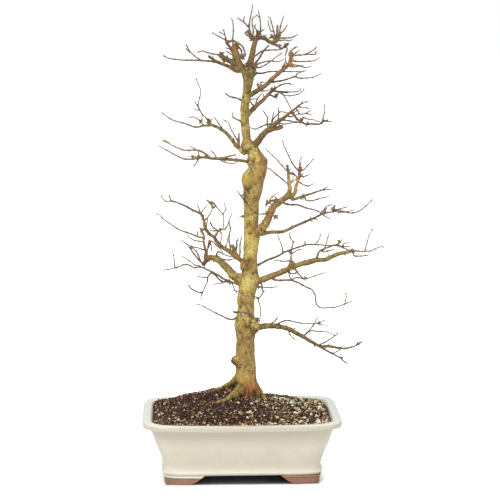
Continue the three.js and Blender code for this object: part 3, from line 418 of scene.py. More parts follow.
def relief(tree, shader, height, distance, under=None):
    """Bump from a height, in metres, on top of another bump if one is given."""
    sockets = {"Height": height, "Distance": distance, "Strength": 1}
    if under is not None:
        sockets["Normal"] = under
    normal = put(tree, "Bump", sockets).outputs["Normal"]
    wire(tree, shader, {"Normal": normal})
    return normal


glaze, tree, shader = bare_material("ivory_glaze_over_clay")
where = put(tree, "TexCoord").outputs["Object"]
axes = put(tree, "SeparateXYZ", {"Vector": where})
level = axes.outputs["Z"]
ivory = coats(tree, paint(225, 218, 200), (grain(tree, where, 22, 4), 0.3, 0.7, 1, (218, 210, 191)),
              (grain(tree, where, 140, 5, 0.7), 0.5, 0.8, 0.2, (204, 196, 176)))
# Painted shade under the lip and on its face, a cooler lip top and a painted highlight on the foot moulding
ivory = coats(tree, ivory, *((level, *band) for band in GLAZE_PAINTED_LIGHT_BANDS))
specks = put(tree, "TexVoronoi", {"Vector": where, "Scale": 330}).outputs["Distance"]
stop = fade(tree, axes.outputs["X"], POT_MIDDLE.x - 0.01, POT_MIDDLE.x + 0.075, GLAZE_LINE_LEFT,
            GLAZE_LINE_RIGHT)
stop = maths(tree, "ADD", stop, maths(tree, "MULTIPLY_ADD", grain(tree, where, 35, 4, 0.6), 0.006, -0.003))
above = maths(tree, "SUBTRACT", level, stop)
edge = maths(tree, "ABSOLUTE", maths(tree, "SUBTRACT", above, 0.0009))
ivory = coats(tree, ivory, (specks, 0.09, 0.04, 0.35, (150, 130, 100)),
              (edge, 0.0012, 0.0002, 0.5, (190, 170, 135)))
clay = blend(tree, grain(tree, where, 90, 5, 0.7), paint(188, 146, 122), paint(140, 98, 76))
clay = coats(tree, clay, (grain(tree, where, 900, 3), 0.55, 0.75, 0.6, (198, 160, 138)))
bare = fade(tree, above, 0.0005, -0.0004)
wire(tree, shader, {"Base Color": blend(tree, bare, ivory, clay),
                    "Roughness": fade(tree, bare, 0, 1, 0.34, 0.85),
                    "Coat Weight": fade(tree, bare, 0, 1, 0.15, 0), "Coat Roughness": 0.22})
wavy = relief(tree, shader, grain(tree, where, 28, 2), 0.0009)
relief(tree, shader, grain(tree, where, 420, 3), 0.00008, wavy)
pot.data.materials.append(glaze)
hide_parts("pot")
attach(pot, "root")


# Drainage screens: black plastic mesh squares under the soil. Their shapes stay as packed and get a dull,
# slightly dusty plastic. They lie loose on the pot's floor.
screen_plastic, tree, shader = bare_material("dull_black_plastic")
where = put(tree, "TexCoord").outputs["Object"]
dust = (grain(tree, where, 320, detail=4), 0.45, 0.7, 0.5, (84, 76, 66))
wire(tree, shader, {"Base Color": coats(tree, paint(38, 38, 38), dust), "Roughness": 0.7})
for name in ("drainage_screen_left", "drainage_screen_right"):
    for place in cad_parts[name].material_slots:
        place.material = screen_plastic


# Soil: a mounded bed that fills the pot up to just under its lip, dark fines on the left and a paler coarse
# grit on the right. The bed is one closed body with a crumbly top; loose grains are pressed into it.
SOIL_EDGE_HEIGHT = 112.6
SOIL_MOUND = {"height": 25, "x": 12, "y": 22, "across": 165, "back": 122}
# Shoulders at the left of the trunk: height, x, y and reach
SOIL_SHOULDERS = [(10, -78, 52, 44), (9, -126, 78, 42), (13, -30, 52, 34), (6.5, 15, -24, 34),
                  (4.5, -20, 8, 20)]
# The bed's outline at each height: height, how far inside the rim and squareness
SOIL_SIDES = [(112.6, 20.2, 8), (106, 26, 8), (90, 30.5, 8), (65, 39, 8), (30, 49.5, 8)]
SOIL_COLUMNS = 200
SOIL_ROWS = 150
# Loose grains: how far inside the rim they lie, and how much of their size stands out of the bed
GRAIN_INSET = 21
GRAIN_PROUD = 0.35
# The foremost millimetres of the bed, where paler grains have rolled against the lip, and how many there are
FRONT_STRIP = -(RIM_HALF_DEPTH - 42)
STRAY_GRIT = 0.07
FRONT_GRIT = 0.35
# Each layer of grains: how many, smallest and largest radius in mm, how deep they sink, seed of the draws
GRIT = (2900, 1.2, 4.0, 0.2, 11)
FINES = (7200, 0.8, 2.1, 0.0, 23)
# A few single grains that stand out: place on the front view, size in mm, and 2 for turquoise or 3 for orange
ODD_GRAINS = [
    ((260.2, 424.4), 1.9, 2), ((290, 413), 3, 3), ((272, 415.5), 2.6, 3), ((234.5, 414), 2.4, 3),
    ((248, 418.5), 2, 3)]
# The grains' colours, dark fines on the left and mixed grit on the right: from which draw on, and the colour
FINES_COLOURS = [(0, (36, 21, 14)), (0.34, (72, 42, 28)), (0.6, (110, 70, 46)), (0.79, (162, 118, 84)),
                 (0.9, (218, 182, 142)), (0.965, (250, 236, 212))]
GRIT_COLOURS = [(0, (34, 23, 15)), (0.4, (84, 60, 38)), (0.58, (146, 114, 76)), (0.73, (210, 184, 142)),
                (0.82, (150, 138, 84)), (0.89, (255, 244, 220))]


def soil_height(x, y):
    """Height of the bed in mm above the ground, before its crumbs."""
    across = (x - SOIL_MOUND["x"]) / SOIL_MOUND["across"]
    back = (y - SOIL_MOUND["y"]) / SOIL_MOUND["back"]
    mound = SOIL_MOUND["height"] * max(0, 1 - across ** 2 - back ** 2)
    shoulders = sum(rise * math.exp(-((x - x0) ** 2 + (y - y0) ** 2) / reach ** 2)
                    for rise, x0, y0, reach in SOIL_SHOULDERS)
    return SOIL_EDGE_HEIGHT + mound + shoulders


def grit_share(x, y):
    """How much of the ground is coarse grit: none on the left, all on the right, with a ragged border."""
    border = 24 + 0.1 * y + 40 * noise.noise(Vector((x, y, 7)) * 0.022)
    return min(1, max(0, (x - border) / 110 + 0.5))


def crumbs(x, y):
    """The unevenness of the bed in mm: fine crumbs on the left, coarser ones on the right."""
    fine = noise.noise(Vector((x, y, 0)) * 0.42) + 0.6 * noise.noise(Vector((x, y, 9)) * 0.9)
    coarse = noise.noise(Vector((x, y, 3)) * 0.2) + 0.7 * noise.noise(Vector((x, y, 5)) * 0.45)
    share = grit_share(x, y)
    hollow = noise.noise(Vector((x, y, 2)) * 0.035)
    return 0.9 * fine * (1 - share) + 1.4 * coarse * share + 1.5 * hollow


deselect()
bpy.ops.mesh.primitive_grid_add(x_subdivisions=SOIL_COLUMNS, y_subdivisions=SOIL_ROWS, size=2,
                                location=(0, 0, 0))
soil = bpy.context.object
soil.name = "soil_bed"
height, inset, squareness = SOIL_SIDES[0]
for vertex in soil.data.vertices:
    s, t = vertex.co.x, vertex.co.y
    furthest = max(abs(s), abs(t))
    if furthest > 0:
        pull = furthest / (abs(s) ** squareness + abs(t) ** squareness) ** (1 / squareness)
        s, t = s * pull, t * pull
    x, y = s * (RIM_HALF_WIDTH - inset), t * (RIM_HALF_DEPTH - inset)
    inside = min(1, (1 - furthest) * 12)
    vertex.co = Vector((x, y, soil_height(x, y) + crumbs(x, y) * inside)) * MM
bpy.ops.object.mode_set(mode="EDIT")
bpy.ops.mesh.select_mode(type="EDGE")
bpy.ops.mesh.select_all(action="DESELECT")
bpy.ops.mesh.select_non_manifold(extend=False)
for (above, inset_above, _), (below, inset_below, _) in zip(SOIL_SIDES, SOIL_SIDES[1:]):
    bpy.ops.mesh.extrude_edges_move(TRANSFORM_OT_translate={"value": (0, 0, (below - above) * MM)})
    bpy.ops.transform.resize(value=((RIM_HALF_WIDTH - inset_below) / (RIM_HALF_WIDTH - inset_above),
                                    (RIM_HALF_DEPTH - inset_below) / (RIM_HALF_DEPTH - inset_above), 1),
                             center_override=(0, 0, 0))
bpy.ops.transform.resize(value=(1, 1, 0), center_override=(0, 0, SOIL_SIDES[-1][0] * MM))
bpy.ops.mesh.edge_face_add()
close_up()
bpy.ops.object.shade_smooth()
set_down(soil, POT_MIDDLE)


def taken_apart(model):
    """The points and faces of a small model that is copied many times; the model itself goes."""
    points = [vertex.co.copy() for vertex in model.data.vertices]
    faces = [tuple(face.vertices) for face in model.data.polygons]
    bpy.data.objects.remove(model)
    return points, faces


def copied(name, model, copies):
    """One mesh with a copy of the model at each (place, turn, size in mm)."""
    points, faces = [], []
    for place, turn, size in copies:
        first = len(points)
        points += [place + turn @ point * size * MM for point in model[0]]
        faces += [tuple(first + corner for corner in face) for face in model[1]]
    mesh = bpy.data.meshes.new(name)
    mesh.from_pydata(points, [], faces)
    return add_to_scene(name, mesh)


def give_values(piece, name, values, domain="POINT"):
    """A value for each point or face of the piece, which its material reads by name."""
    piece.data.attributes.new(name, "FLOAT", domain).data.foreach_set("value", values)


def read_value(tree, name):
    """In a material, the value that the piece's points or faces have under this name."""
    return put(tree, "Attribute", attribute_name=name).outputs["Fac"]


def on_soil(u, v, lift):
    """The depth at which a point of the front view lies lift mm above the soil."""
    near, far = -130, 130
    while far - near > 0.5:
        depth = (near + far) / 2
        place = (in_space(u, v, depth) - POT_MIDDLE) / MM
        if place.z > soil_height(place.x, place.y) + lift:
            near = depth
        else:
            far = depth
    return near


# One grain, a rough lump of 20 faces, modelled once and copied with its own size, turn and colour
deselect()
bpy.ops.mesh.primitive_ico_sphere_add(subdivisions=1, radius=1, location=(0, 0, 0))
lump = bpy.context.object
bpy.ops.object.mode_set(mode="EDIT")
bpy.ops.transform.vertex_random(offset=0.22, seed=4)
bpy.ops.transform.resize(value=(1.15, 0.95, 0.78))
bpy.ops.object.mode_set(mode="OBJECT")
grain_model = taken_apart(lump)


def scatter(name, layer, wanted, odd=()):
    """Grains strewn over the bed where wanted(x, y) is likely, with a random value for each one's colour."""
    how_many, smallest, largest, sink, seed = layer
    chance = random.Random(seed)
    grains, tints = [], []
    while len(tints) < how_many:
        x = chance.uniform(-1, 1) * (RIM_HALF_WIDTH - GRAIN_INSET - 1)
        y = chance.uniform(-1, 1) * (RIM_HALF_DEPTH - GRAIN_INSET - 1)
        room_across, room_back = RIM_HALF_WIDTH - GRAIN_INSET, RIM_HALF_DEPTH - GRAIN_INSET
        if (abs(x) / room_across) ** 8 + (abs(y) / room_back) ** 8 > 1 or chance.random() > wanted(x, y):
            continue
        size = smallest + (largest - smallest) * chance.random() ** 1.8
        if max(abs(x) / (room_across - size), abs(y) / (room_back - size)) > 1:
            continue
        turn = (Matrix.Rotation(chance.uniform(0, 6.28), 3, "Z")
                @ Matrix.Rotation(chance.uniform(-0.8, 0.8), 3, "X"))
        stretch = Matrix.Diagonal([chance.uniform(0.75, 1.25) for _ in range(3)])
        height = soil_height(x, y) + crumbs(x, y) + size * (GRAIN_PROUD - sink)
        grains.append((POT_MIDDLE + Vector((x, y, height)) * MM, turn @ stretch, size))
        tints.append(chance.random() ** (0.6 if y < FRONT_STRIP else 1))
    for (u, v), size, value in odd:
        grains.append((in_space(u, v, on_soil(u, v, size * 0.4)), Matrix.Identity(3), size))
        tints.append(value)
    piece = copied(name, grain_model, grains)
    give_values(piece, "tint", [value for value in tints for _ in grain_model[1]], "FACE")
    return piece


grit = scatter("soil_grit", GRIT,
               lambda x, y: (STRAY_GRIT if y > FRONT_STRIP else FRONT_GRIT) + grit_share(x, y), ODD_GRAINS)
fines = scatter("soil_fines", FINES, lambda x, y: 1.1 - 0.75 * grit_share(x, y))


def shade_group(name, inputs, outputs):
    """An empty shader node group with named sockets; returns it with its input and its output node."""
    group = bpy.data.node_groups.new(name, "ShaderNodeTree")
    for sockets, way in ((inputs, "INPUT"), (outputs, "OUTPUT")):
        for socket, kind in sockets.items():
            group.interface.new_socket(name=socket, in_out=way, socket_type="NodeSocket" + kind)
    return group, group.nodes.new("NodeGroupInput"), group.nodes.new("NodeGroupOutput")


# Where the ground is pale: none of it on the left and all of it on the right, with a ragged border
pale_ground, taken, given = shade_group("pale_ground", {"Place": "Vector"}, {"Pale": "Float"})
where = taken.outputs["Place"]
ragged = maths(pale_ground, "MULTIPLY",
               maths(pale_ground, "SUBTRACT", grain(pale_ground, where, 14, detail=4), 0.5), 0.14)
side = maths(pale_ground, "ADD", put(pale_ground, "SeparateXYZ", {"Vector": where}).outputs["X"], ragged)
wire(pale_ground, given, {"Pale": fade(pale_ground, side, -0.05, 0.07)})

soil_earth, tree, shader = bare_material("soil_earth")
where = put(tree, "TexCoord").outputs["Object"]
pale = put(tree, "Group", {"Place": where}, node_tree=pale_ground).outputs["Pale"]
specks = grain(tree, where, 620, detail=5, rough=0.7)
dark = coats(tree, paint(28, 16, 12), (specks, 0.52, 0.68, 1, (84, 52, 37)))
grey = coats(tree, paint(26, 18, 12), (specks, 0.52, 0.68, 1, (80, 60, 42)))
wire(tree, shader, {"Base Color": blend(tree, pale, dark, grey), "Roughness": 0.95})
relief(tree, shader, grain(tree, where, 520, detail=6, rough=0.7), 0.0016)
soil.data.materials.append(soil_earth)


def colour_steps(tree, value, stops):
    """A colour that changes in steps with a value."""
    ramp = put(tree, "ValToRGB", {"Fac": value})
    ramp.color_ramp.interpolation = "CONSTANT"
    for number, (place, colour) in enumerate(stops):
        stop = ramp.color_ramp.elements[number] if number < 2 else ramp.color_ramp.elements.new(place)
        stop.position = place
        stop.color = paint(*colour)
    return ramp.outputs["Color"]


soil_grain, tree, shader = bare_material("soil_grains")
where = put(tree, "TexCoord").outputs["Object"]
pale = put(tree, "Group", {"Place": where}, node_tree=pale_ground).outputs["Pale"]
tint = read_value(tree, "tint")
colour = blend(tree, pale, colour_steps(tree, tint, FINES_COLOURS), colour_steps(tree, tint, GRIT_COLOURS))
colour = coats(tree, colour, (tint, 1.4, 1.6, 1, (70, 186, 160)), (tint, 2.4, 2.6, 1, (206, 140, 84)),
               (grain(tree, where, 900, detail=4), 0.4, 0.7, 0.35, (92, 74, 58)))
wire(tree, shader, {"Base Color": colour, "Roughness": 0.85})
relief(tree, shader, grain(tree, where, 1500, detail=4, rough=0.7), 0.0004)
for piece in (grit, fines):
    piece.data.materials.append(soil_grain)
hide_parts("soil")
for piece in (soil, grit, fines):
    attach(piece, "root")


# Trunk: a tapering maple trunk with swellings low and high, a pruned knob and the flare of its surface
# roots. One body: rings drawn up from the ground, lumps, roots and the limbs' collars joined to it and
# melted together, then bark relief and old scars worked into its surface.
TRUNK_SIDES = 28
# Size in mm of one unit of the front view, in the plane of the pot's middle
UNIT = (POT_MIDDLE.y - EYE.y) / MM / VIEW_FOCAL
# Each row of the outline: height line, left edge, right edge, depth of the middle
TRUNK_OUTLINE = [
    (412, 241, 259, 20), (404, 241, 259.5, 20), (397, 241, 259.5, 20), (391, 240.3, 259.5, 20),
    (385, 238.8, 258.5, 20), (380, 236.6, 257.4, 20), (375, 235.8, 256.3, 20), (368, 235.7, 255.9, 20),
    (360, 235.6, 255.5, 20), (350, 235.8, 255, 19), (340, 236.2, 254.6, 18), (332, 235.5, 256, 18),
    (325, 234, 256.5, 18), (315, 236.5, 254.5, 17), (305, 238, 254.3, 17), (296, 238.3, 255, 16),
    (288, 238.3, 257, 15), (280, 240, 260, 14), (272, 241.5, 258, 14), (262, 243, 257, 14),
    (250, 243.5, 258, 15), (240, 244, 259.5, 16), (228, 244, 258.5, 17), (214, 244, 258.3, 18),
    (202, 243.5, 259, 18), (194, 243.3, 261.5, 17), (187, 243, 263.2, 16), (180, 241.2, 264.5, 14),
    (174, 242.5, 265.8, 13), (168, 248.3, 267, 13), (160, 248.5, 267.5, 13), (153, 247, 262, 13),
    (146, 240.5, 258, 13), (139, 243, 251, 12), (130, 241.5, 250, 11), (120, 240.7, 249, 10),
    (110, 240.5, 249.3, 9), (100, 241.2, 249.3, 9), (90, 243, 251, 9), (82, 243.3, 252.8, 9),
    (77, 242.6, 253.8, 9), (72, 241.4, 255.8, 9), (68, 241.4, 256, 9), (65, 244, 254, 9)]
# Surface roots and, below them, limbs are drawn as routes: root radius, tip radius and change of depth in mm,
# then points on the front view
ROOTS = [
    [14, 1.2, 30, 244, 374, 237, 380.3, 230, 385, 219.7, 388.6, 212, 391.2, 204, 393.8],
    [10, 3, 4, 246, 380, 239.5, 385.5, 234, 389, 230, 392],
    [14, 2, -20, 246, 384.5, 240, 391, 233, 396, 226.5, 399.4, 219, 402.2, 214, 403.4],
    [2.6, 1, -6, 220, 401.6, 210, 403.2, 200, 404.4, 193, 405.4],
    [6.5, 2.2, -16, 253, 382, 258.5, 389, 262.5, 395.5, 266, 400.5],
    [9, 4, 48, 250, 380, 252, 384, 256, 388, 258, 392]]

# Limbs with their twigs. The first route of a limb starts in the trunk, each later one at the nearest place
# of those before it. The trunk's collars are made from them too.
LIMBS = {
    "crown_leader": [
        [8.6, 4, -4, 248, 86, 248.5, 76, 249.5, 66, 251.5, 58, 253.5, 48, 255, 41],
        [3, 2.6, -6, 255, 40, 250, 35, 247.5, 31],
        [1.5, 0.8, -22, 250, 35, 249, 28, 244, 22, 238, 18.5],
        [1, 0.7, 6, 244, 21, 244.5, 16.5],
        [1.3, 0.7, 12, 249, 28, 250.5, 17, 252.5, 5],
        [1.2, 0.7, -14, 253, 34, 252.5, 19, 256.5, 15],
        [1.1, 0.8, 10, 245, 33, 249, 37],
        [3.8, 3, 16, 255, 40, 259, 38, 265, 38.5, 270, 42, 276, 41, 278, 36],
        [2.4, 2, -8, 258, 37, 258, 31.5],
        [1.2, 0.7, 8, 260.5, 34, 260.5, 27, 259.5, 17, 258.5, 11],
        [1, 0.7, -8, 259.5, 17, 256, 15],
        [1.1, 0.8, 16, 260, 34, 260, 32, 264, 29],
        [1.1, 0.8, -14, 260, 34, 263, 36, 266, 35],
        [1.3, 0.9, -16, 256, 36, 257, 31, 254.5, 27, 255.5, 25],
        [2.4, 2, -6, 278, 37, 277.5, 31, 277.5, 25],
        [1.3, 0.7, 12, 278, 35, 279.5, 34, 280, 28, 283.5, 16.5],
        [1.2, 0.7, -18, 280, 34, 283, 31, 287.5, 25],
        [1.4, 0.8, 22, 279, 38, 282, 38, 290, 38, 294, 36.5, 297, 34.5],
        [1.3, 0.7, -14, 276, 38, 274.5, 33, 272, 24, 270.5, 18, 268.5, 16.5],
        [1, 0.7, 8, 273, 31, 271, 31, 269, 26, 268.5, 21],
        [1.9, 1.6, 12, 275, 40, 272, 36],
        [1.8, 1.2, -26, 272, 42, 272, 44, 278, 45, 280, 48, 283, 48, 286, 45, 288, 43],
        [1.3, 0.8, 10, 277, 41, 284, 40, 289, 41, 292, 40],
        [1.2, 0.8, -8, 284, 47, 287, 48, 285, 56],
        [2.2, 1.2, -32, 252, 64, 253, 66, 258, 60, 263, 52, 269, 45],
        [1.6, 0.8, 36, 252, 58, 254, 57, 258, 54, 263, 51, 272, 50, 282, 49],
        [1.6, 0.8, -44, 252, 66, 255, 65, 262, 62.5, 270, 61, 279, 61.5, 284, 59],
        [1.4, 0.8, 42, 252, 69, 255, 68, 261, 67, 267, 64, 272, 60, 282, 53],
        [1.6, 0.8, 56, 252, 73, 256, 73, 262, 73, 268, 72, 275, 71.5, 290, 71.5, 300, 71.5]],
    "crown_left": [
        [4.8, 2.1, -28, 246, 72, 240, 70.5, 235, 70, 230, 67, 222, 64, 214, 60, 208, 56],
        [1.8, 0.8, -34, 219, 63, 215, 62, 208, 61, 202, 60.5, 190, 60, 180, 60, 173, 59, 167, 57.5, 163.5,
         55.5],
        [1.1, 0.8, 10, 203, 60.5, 201, 60, 196, 57, 190, 52, 187, 49.5],
        [1, 0.8, -6, 190, 52, 186.5, 45.5],
        [5.4, 4.4, 22, 237, 66, 233.5, 63, 228.5, 60.5, 223, 57.4, 219.6, 54.4],
        [1.3, 0.8, 18, 221, 56, 219, 55, 212, 53.5, 206, 52, 202, 51, 199, 52],
        [7, 6.4, 8, 240.5, 68, 239, 64, 236.5, 58, 234.3, 46.5],
        [2.4, 1.6, -14, 234.5, 51, 229, 46, 225.5, 40.5],
        [1.1, 0.7, -14, 227, 42, 226, 40, 222, 38, 213.5, 33.5],
        [1.1, 0.7, 14, 227, 41, 225, 35, 224, 30.5],
        [0.9, 0.7, -5, 225, 35, 220.5, 32.5],
        [1.3, 0.7, 22, 234, 50, 232.5, 40, 233.5, 30, 232.5, 22, 231.5, 18.5],
        [2.1, 1.2, -30, 227, 42, 232, 41, 238, 43, 242, 46, 244, 50, 246, 56],
        [1.7, 1, -8, 236, 43, 237, 45, 241, 50, 242, 56, 243, 60],
        [1.2, 0.8, 8, 231, 49, 226, 48],
        [1.2, 0.8, -10, 233, 55, 226, 51]],
    "limb_right_1": [
        [4.6, 3.2, -48, 246, 97, 250, 95, 255, 92, 260, 89, 266, 85, 272, 79, 280, 72, 286, 67, 290, 62,
         291, 51],
        [1.6, 0.9, 10, 282, 70, 283, 67, 285, 62, 286, 57],
        [1.5, 0.7, -22, 290.5, 58, 293, 56, 298, 55, 305, 54.5, 315, 54.5, 315.5, 52.5],
        [1, 0.7, 10, 305, 54.5, 312, 51, 316, 48],
        [1.5, 0.7, 20, 290, 61, 294, 61, 300, 61.5, 312, 61, 316, 60, 320, 57],
        [1.1, 0.8, 8, 290.5, 56, 293, 55, 298.5, 51],
        [1.2, 0.8, -8, 291, 53, 292, 50, 297, 46.5],
        [1.3, 0.8, -18, 288, 65, 292, 65, 297, 65, 304, 66],
        [1.1, 0.8, 10, 289, 66, 293, 67, 299, 66, 304, 67.5, 311, 66.5],
        [1.8, 0.8, 26, 270, 82, 272, 82, 280, 81, 288, 79, 296, 76, 297, 74, 306, 70.5],
        [1.2, 0.8, 12, 295, 76.5, 299, 78, 312, 77.5, 316, 76, 321, 73.5],
        [1.4, 1.2, -8, 260, 89, 258.5, 87, 257.5, 83],
        [1.2, 1, 8, 261, 88, 261, 85, 261, 82, 264, 82],
        [1.3, 0.8, -14, 258, 91, 260, 91, 264, 91, 269, 90.5]],
    "limb_right_2": [
        [4.6, 2.6, 50, 246, 115, 250, 112, 256, 106, 262, 101, 268, 95, 272, 91, 275, 89],
        [1.6, 0.9, 16, 274, 90, 276, 88, 281, 85, 286, 83.5, 290, 83.5, 292, 84.5],
        [1.6, 0.8, -10, 272, 92, 274, 91, 282, 91.5, 290, 92, 298, 91.5, 300, 90.5],
        [1.1, 0.8, 14, 275, 91.5, 278, 92, 287, 93],
        [1.2, 0.8, -16, 279, 91.5, 282, 94, 285, 95.5, 291, 95.5, 299, 94, 303, 91],
        [1.8, 1.1, 10, 269, 94, 270, 95, 274, 97, 277, 98.5],
        [1.1, 0.8, -6, 274, 97, 278, 94],
        [1, 0.8, 12, 281, 93.5, 283, 94, 288, 103, 291, 109],
        [1.4, 0.9, 12, 257, 105, 256, 103, 258, 98, 262, 93],
        [1.3, 0.9, -10, 255, 107, 250, 100, 256, 99]],
    "limb_left_2": [
        [1.8, 1.2, -16, 245, 102, 241, 100, 236, 98, 230, 96.5, 225.5, 93.5]],
    "limb_left_3": [
        [1.8, 1.1, 14, 245, 123, 240, 121, 235, 118.5, 232.5, 116.5, 232, 112.5]],
    "limb_right_3": [
        [7, 1.7, -78, 250, 151, 254, 146, 259, 140, 262, 136, 268, 130, 273, 126, 279, 121, 285, 117, 292,
         111, 299, 105],
        [4, 3.3, -8, 270, 130, 272, 129, 279, 128, 283, 126.3],
        [1.5, 0.8, 24, 271, 124, 265, 125, 260, 127, 255, 129, 250, 127.5],
        [1.4, 0.8, 14, 268, 130, 268, 129, 267, 122, 267.5, 118, 263, 110],
        [1.3, 0.7, -14, 272, 126, 272, 120, 273.5, 112],
        [1.2, 0.8, 12, 273, 122, 273, 119, 276, 116, 280, 112, 283, 112, 287, 112.5],
        [1.3, 0.7, 10, 278, 122, 278, 121, 278.5, 113, 278.5, 107.5],
        [1.1, 0.8, -8, 298, 106, 299, 106, 303, 100.5],
        [1.1, 0.8, 10, 299, 105, 308, 101],
        [1.1, 0.8, -16, 297, 107, 299, 107, 304, 107.5, 310, 108.5],
        [1.2, 0.8, 14, 291, 112, 293, 113, 299, 110],
        [1.2, 0.8, -12, 296, 108, 300, 114, 306, 113.5, 311, 110],
        [1, 0.8, 8, 306, 113.5, 312, 115],
        [1.2, 0.8, 10, 287, 115, 290, 117, 300, 114],
        [2, 1.3, 20, 292, 112, 294, 115, 297, 119, 301, 122, 305, 124, 312, 124, 320, 124, 324, 121, 328,
         120],
        [1.1, 0.7, 14, 323, 121, 324, 121, 323, 117, 324.5, 113, 324.5, 104.5],
        [1.1, 0.8, -8, 326, 121, 328, 121.5, 332, 121.5],
        [1.2, 0.8, -14, 300, 121, 303, 118, 308, 119, 314, 120, 320, 122],
        [1.4, 0.9, -18, 283, 119, 285, 120, 292, 121, 299, 122, 303, 119],
        [1.2, 0.8, 26, 277, 123, 284, 124, 292, 123, 300, 122.5]],
    "limb_left_4": [
        [4.2, 2.4, 58, 246, 153, 240, 149, 236, 146, 233, 141, 229, 136, 224, 131, 218, 127.5, 212, 125,
         209, 123],
        [1.5, 0.9, -22, 210, 123, 208, 120, 203, 115, 200, 111, 197, 105, 195, 101.5],
        [1, 0.8, 6, 199, 110, 196, 110, 194, 109],
        [1.2, 0.7, 16, 198, 107, 198, 105, 200, 97, 201, 92, 199, 86, 196.5, 80],
        [2, 0.9, 34, 212, 125, 209, 125, 203, 126, 196, 127, 190, 125.5, 183, 123, 176, 121, 170, 118.5,
         166, 116, 162.5, 113.5],
        [1.2, 0.8, -12, 205, 125.5, 201, 123, 199, 120, 194.5, 117, 189, 117.5],
        [1.1, 0.8, 6, 201, 122, 202, 120, 202, 115],
        [1.3, 1, -6, 211, 124.5, 210, 120, 208, 118],
        [1.1, 0.9, 8, 210, 121, 213, 119],
        [1.3, 0.8, -14, 222, 130, 221, 127, 217, 121, 214, 117],
        [1.4, 0.8, 20, 238, 148, 238, 142, 233, 133, 230, 127, 228.5, 123, 223.5, 120],
        [1.8, 1.5, -6, 239, 148, 239, 140, 239, 133]],
    "limb_left_5": [
        [3, 2.3, -54, 250, 164, 248, 162, 240, 160.5, 230, 159.5, 220, 159, 212, 158.5, 206, 157.5, 198,
         157],
        [2, 0.8, -22, 210, 158, 205, 153.5, 200, 151, 195, 150, 183, 150, 178, 148, 172, 145, 168, 142.5,
         166, 141],
        [1.2, 0.9, 8, 199, 157, 190, 156.5],
        [1.2, 0.9, 4, 199, 156.5, 198, 151, 195, 149, 191, 146.5],
        [1.8, 0.8, 20, 200, 157, 198, 158, 190, 159.5, 183, 158.5, 173, 154, 166, 150, 159, 146],
        [1.3, 0.9, -8, 199, 158, 197, 162, 195, 165, 193, 167],
        [1.3, 0.9, 10, 217, 158.5, 214, 153.5, 210, 150],
        [1.4, 0.9, -12, 220, 159.5, 222, 161, 228, 163, 234, 163.5, 237, 161.5],
        [1.8, 1.4, 12, 216, 158.5, 224, 157.5, 230, 156, 236, 154.5],
        [1.2, 1.4, 14, 168, 143, 163, 140.5]],
    "limb_right_4": [
        [8.6, 5.2, -42, 252, 240, 256, 234, 262, 228, 267, 221, 270, 214, 274, 206, 281, 201, 288, 196],
        [3.6, 2.3, -6, 286, 197, 290, 190, 289, 183, 288.5, 176, 288, 170, 287.5, 164.5],
        [3.6, 2.3, 14, 288, 196, 294, 194, 296, 187, 298, 181, 299, 178, 299.5, 172],
        [1.6, 0.8, -20, 289, 185, 288, 184, 283, 180, 276, 174, 270, 169, 266, 167.5],
        [1.5, 0.8, 18, 297, 180, 296, 176, 290, 172.5, 286, 170, 281, 164, 272, 155, 265.5, 149],
        [1.5, 0.7, -12, 299.5, 174, 299, 172, 294, 166, 290, 159, 286, 150, 284, 146, 282.5, 140],
        [1.4, 0.9, 8, 299.5, 172, 299.5, 168, 300, 160, 302, 157.5],
        [1.4, 0.8, 16, 299.5, 174, 301, 171, 305, 168.5, 309, 164, 314, 158],
        [1.3, 1, -5, 300, 167, 301, 163],
        [1.4, 0.9, -14, 299, 178, 300, 176, 304, 176.5, 309, 175],
        [1.4, 0.9, 14, 298, 182, 299, 182, 304, 185, 309, 186, 313, 184],
        [1.4, 0.9, -9, 290, 185, 291, 183, 296, 179],
        [1.3, 0.9, 6, 290, 186, 291, 183, 294, 176],
        [2.8, 1, 26, 288, 197, 294, 199, 299, 197.5, 304, 196, 310, 194, 316, 192, 322, 190, 326, 187.5,
         328, 186.5],
        [1.2, 0.8, 8, 320, 190.7, 322, 190, 332, 189],
        [1.5, 0.8, -22, 303, 196.5, 305, 196, 306, 200, 312, 200.5, 318, 199, 323, 198, 329, 196.5],
        [2, 0.9, -34, 283, 200, 284, 203, 291, 204.5, 298, 205, 304, 207, 311, 209, 318, 211, 321, 213],
        [2.2, 1.8, -12, 280, 201, 279, 200, 271, 201, 267, 203, 266, 206],
        [1.2, 0.9, -8, 270, 201, 270, 199, 273, 196, 277, 193],
        [2, 1.6, -6, 270, 214, 266, 213],
        [1.8, 1.2, -8, 271, 215, 276, 217],
        [1.3, 0.8, -14, 268, 215, 265, 214, 258, 214, 252, 213.5]],
    "twig_front": [
        [1.7, 0.9, -24, 257, 219, 255, 213, 249, 206, 244, 200, 241, 196, 237.5, 191],
        [1.1, 0.8, 4, 242, 197.5, 241, 196, 245, 193.5]],
    "stub_left": [
        [2.4, 2, -3, 248, 217, 244, 216.5, 241, 216]],
    "limb_right_4_low": [
        [4, 1, -84, 253, 236, 260, 234, 266, 233, 273, 232, 281, 232, 287, 230, 293, 227, 300, 224, 306,
         221.5, 313, 218.5, 319, 215.5, 322, 213.5, 328, 212.5, 335, 211.5, 343, 211],
        [1.3, 0.8, 10, 321, 214, 322, 212, 325, 208, 327, 206, 332, 204.5],
        [1.1, 0.9, -5, 324, 213, 325, 211, 327, 208],
        [1.5, 1.1, 8, 333, 212, 334, 211, 333, 207, 335, 205.5],
        [1.2, 0.8, 12, 335, 211.5, 336, 210, 342, 208.5, 347, 207],
        [1.1, 0.8, -8, 341, 211, 343, 212.5, 348, 211.5, 355, 210],
        [1.3, 0.7, -18, 342, 211, 350, 213, 356, 212.5, 361, 210, 366, 206, 370, 202, 373, 198.5],
        [1.2, 0.9, 10, 321, 214, 324, 215, 327, 217, 330, 218.5],
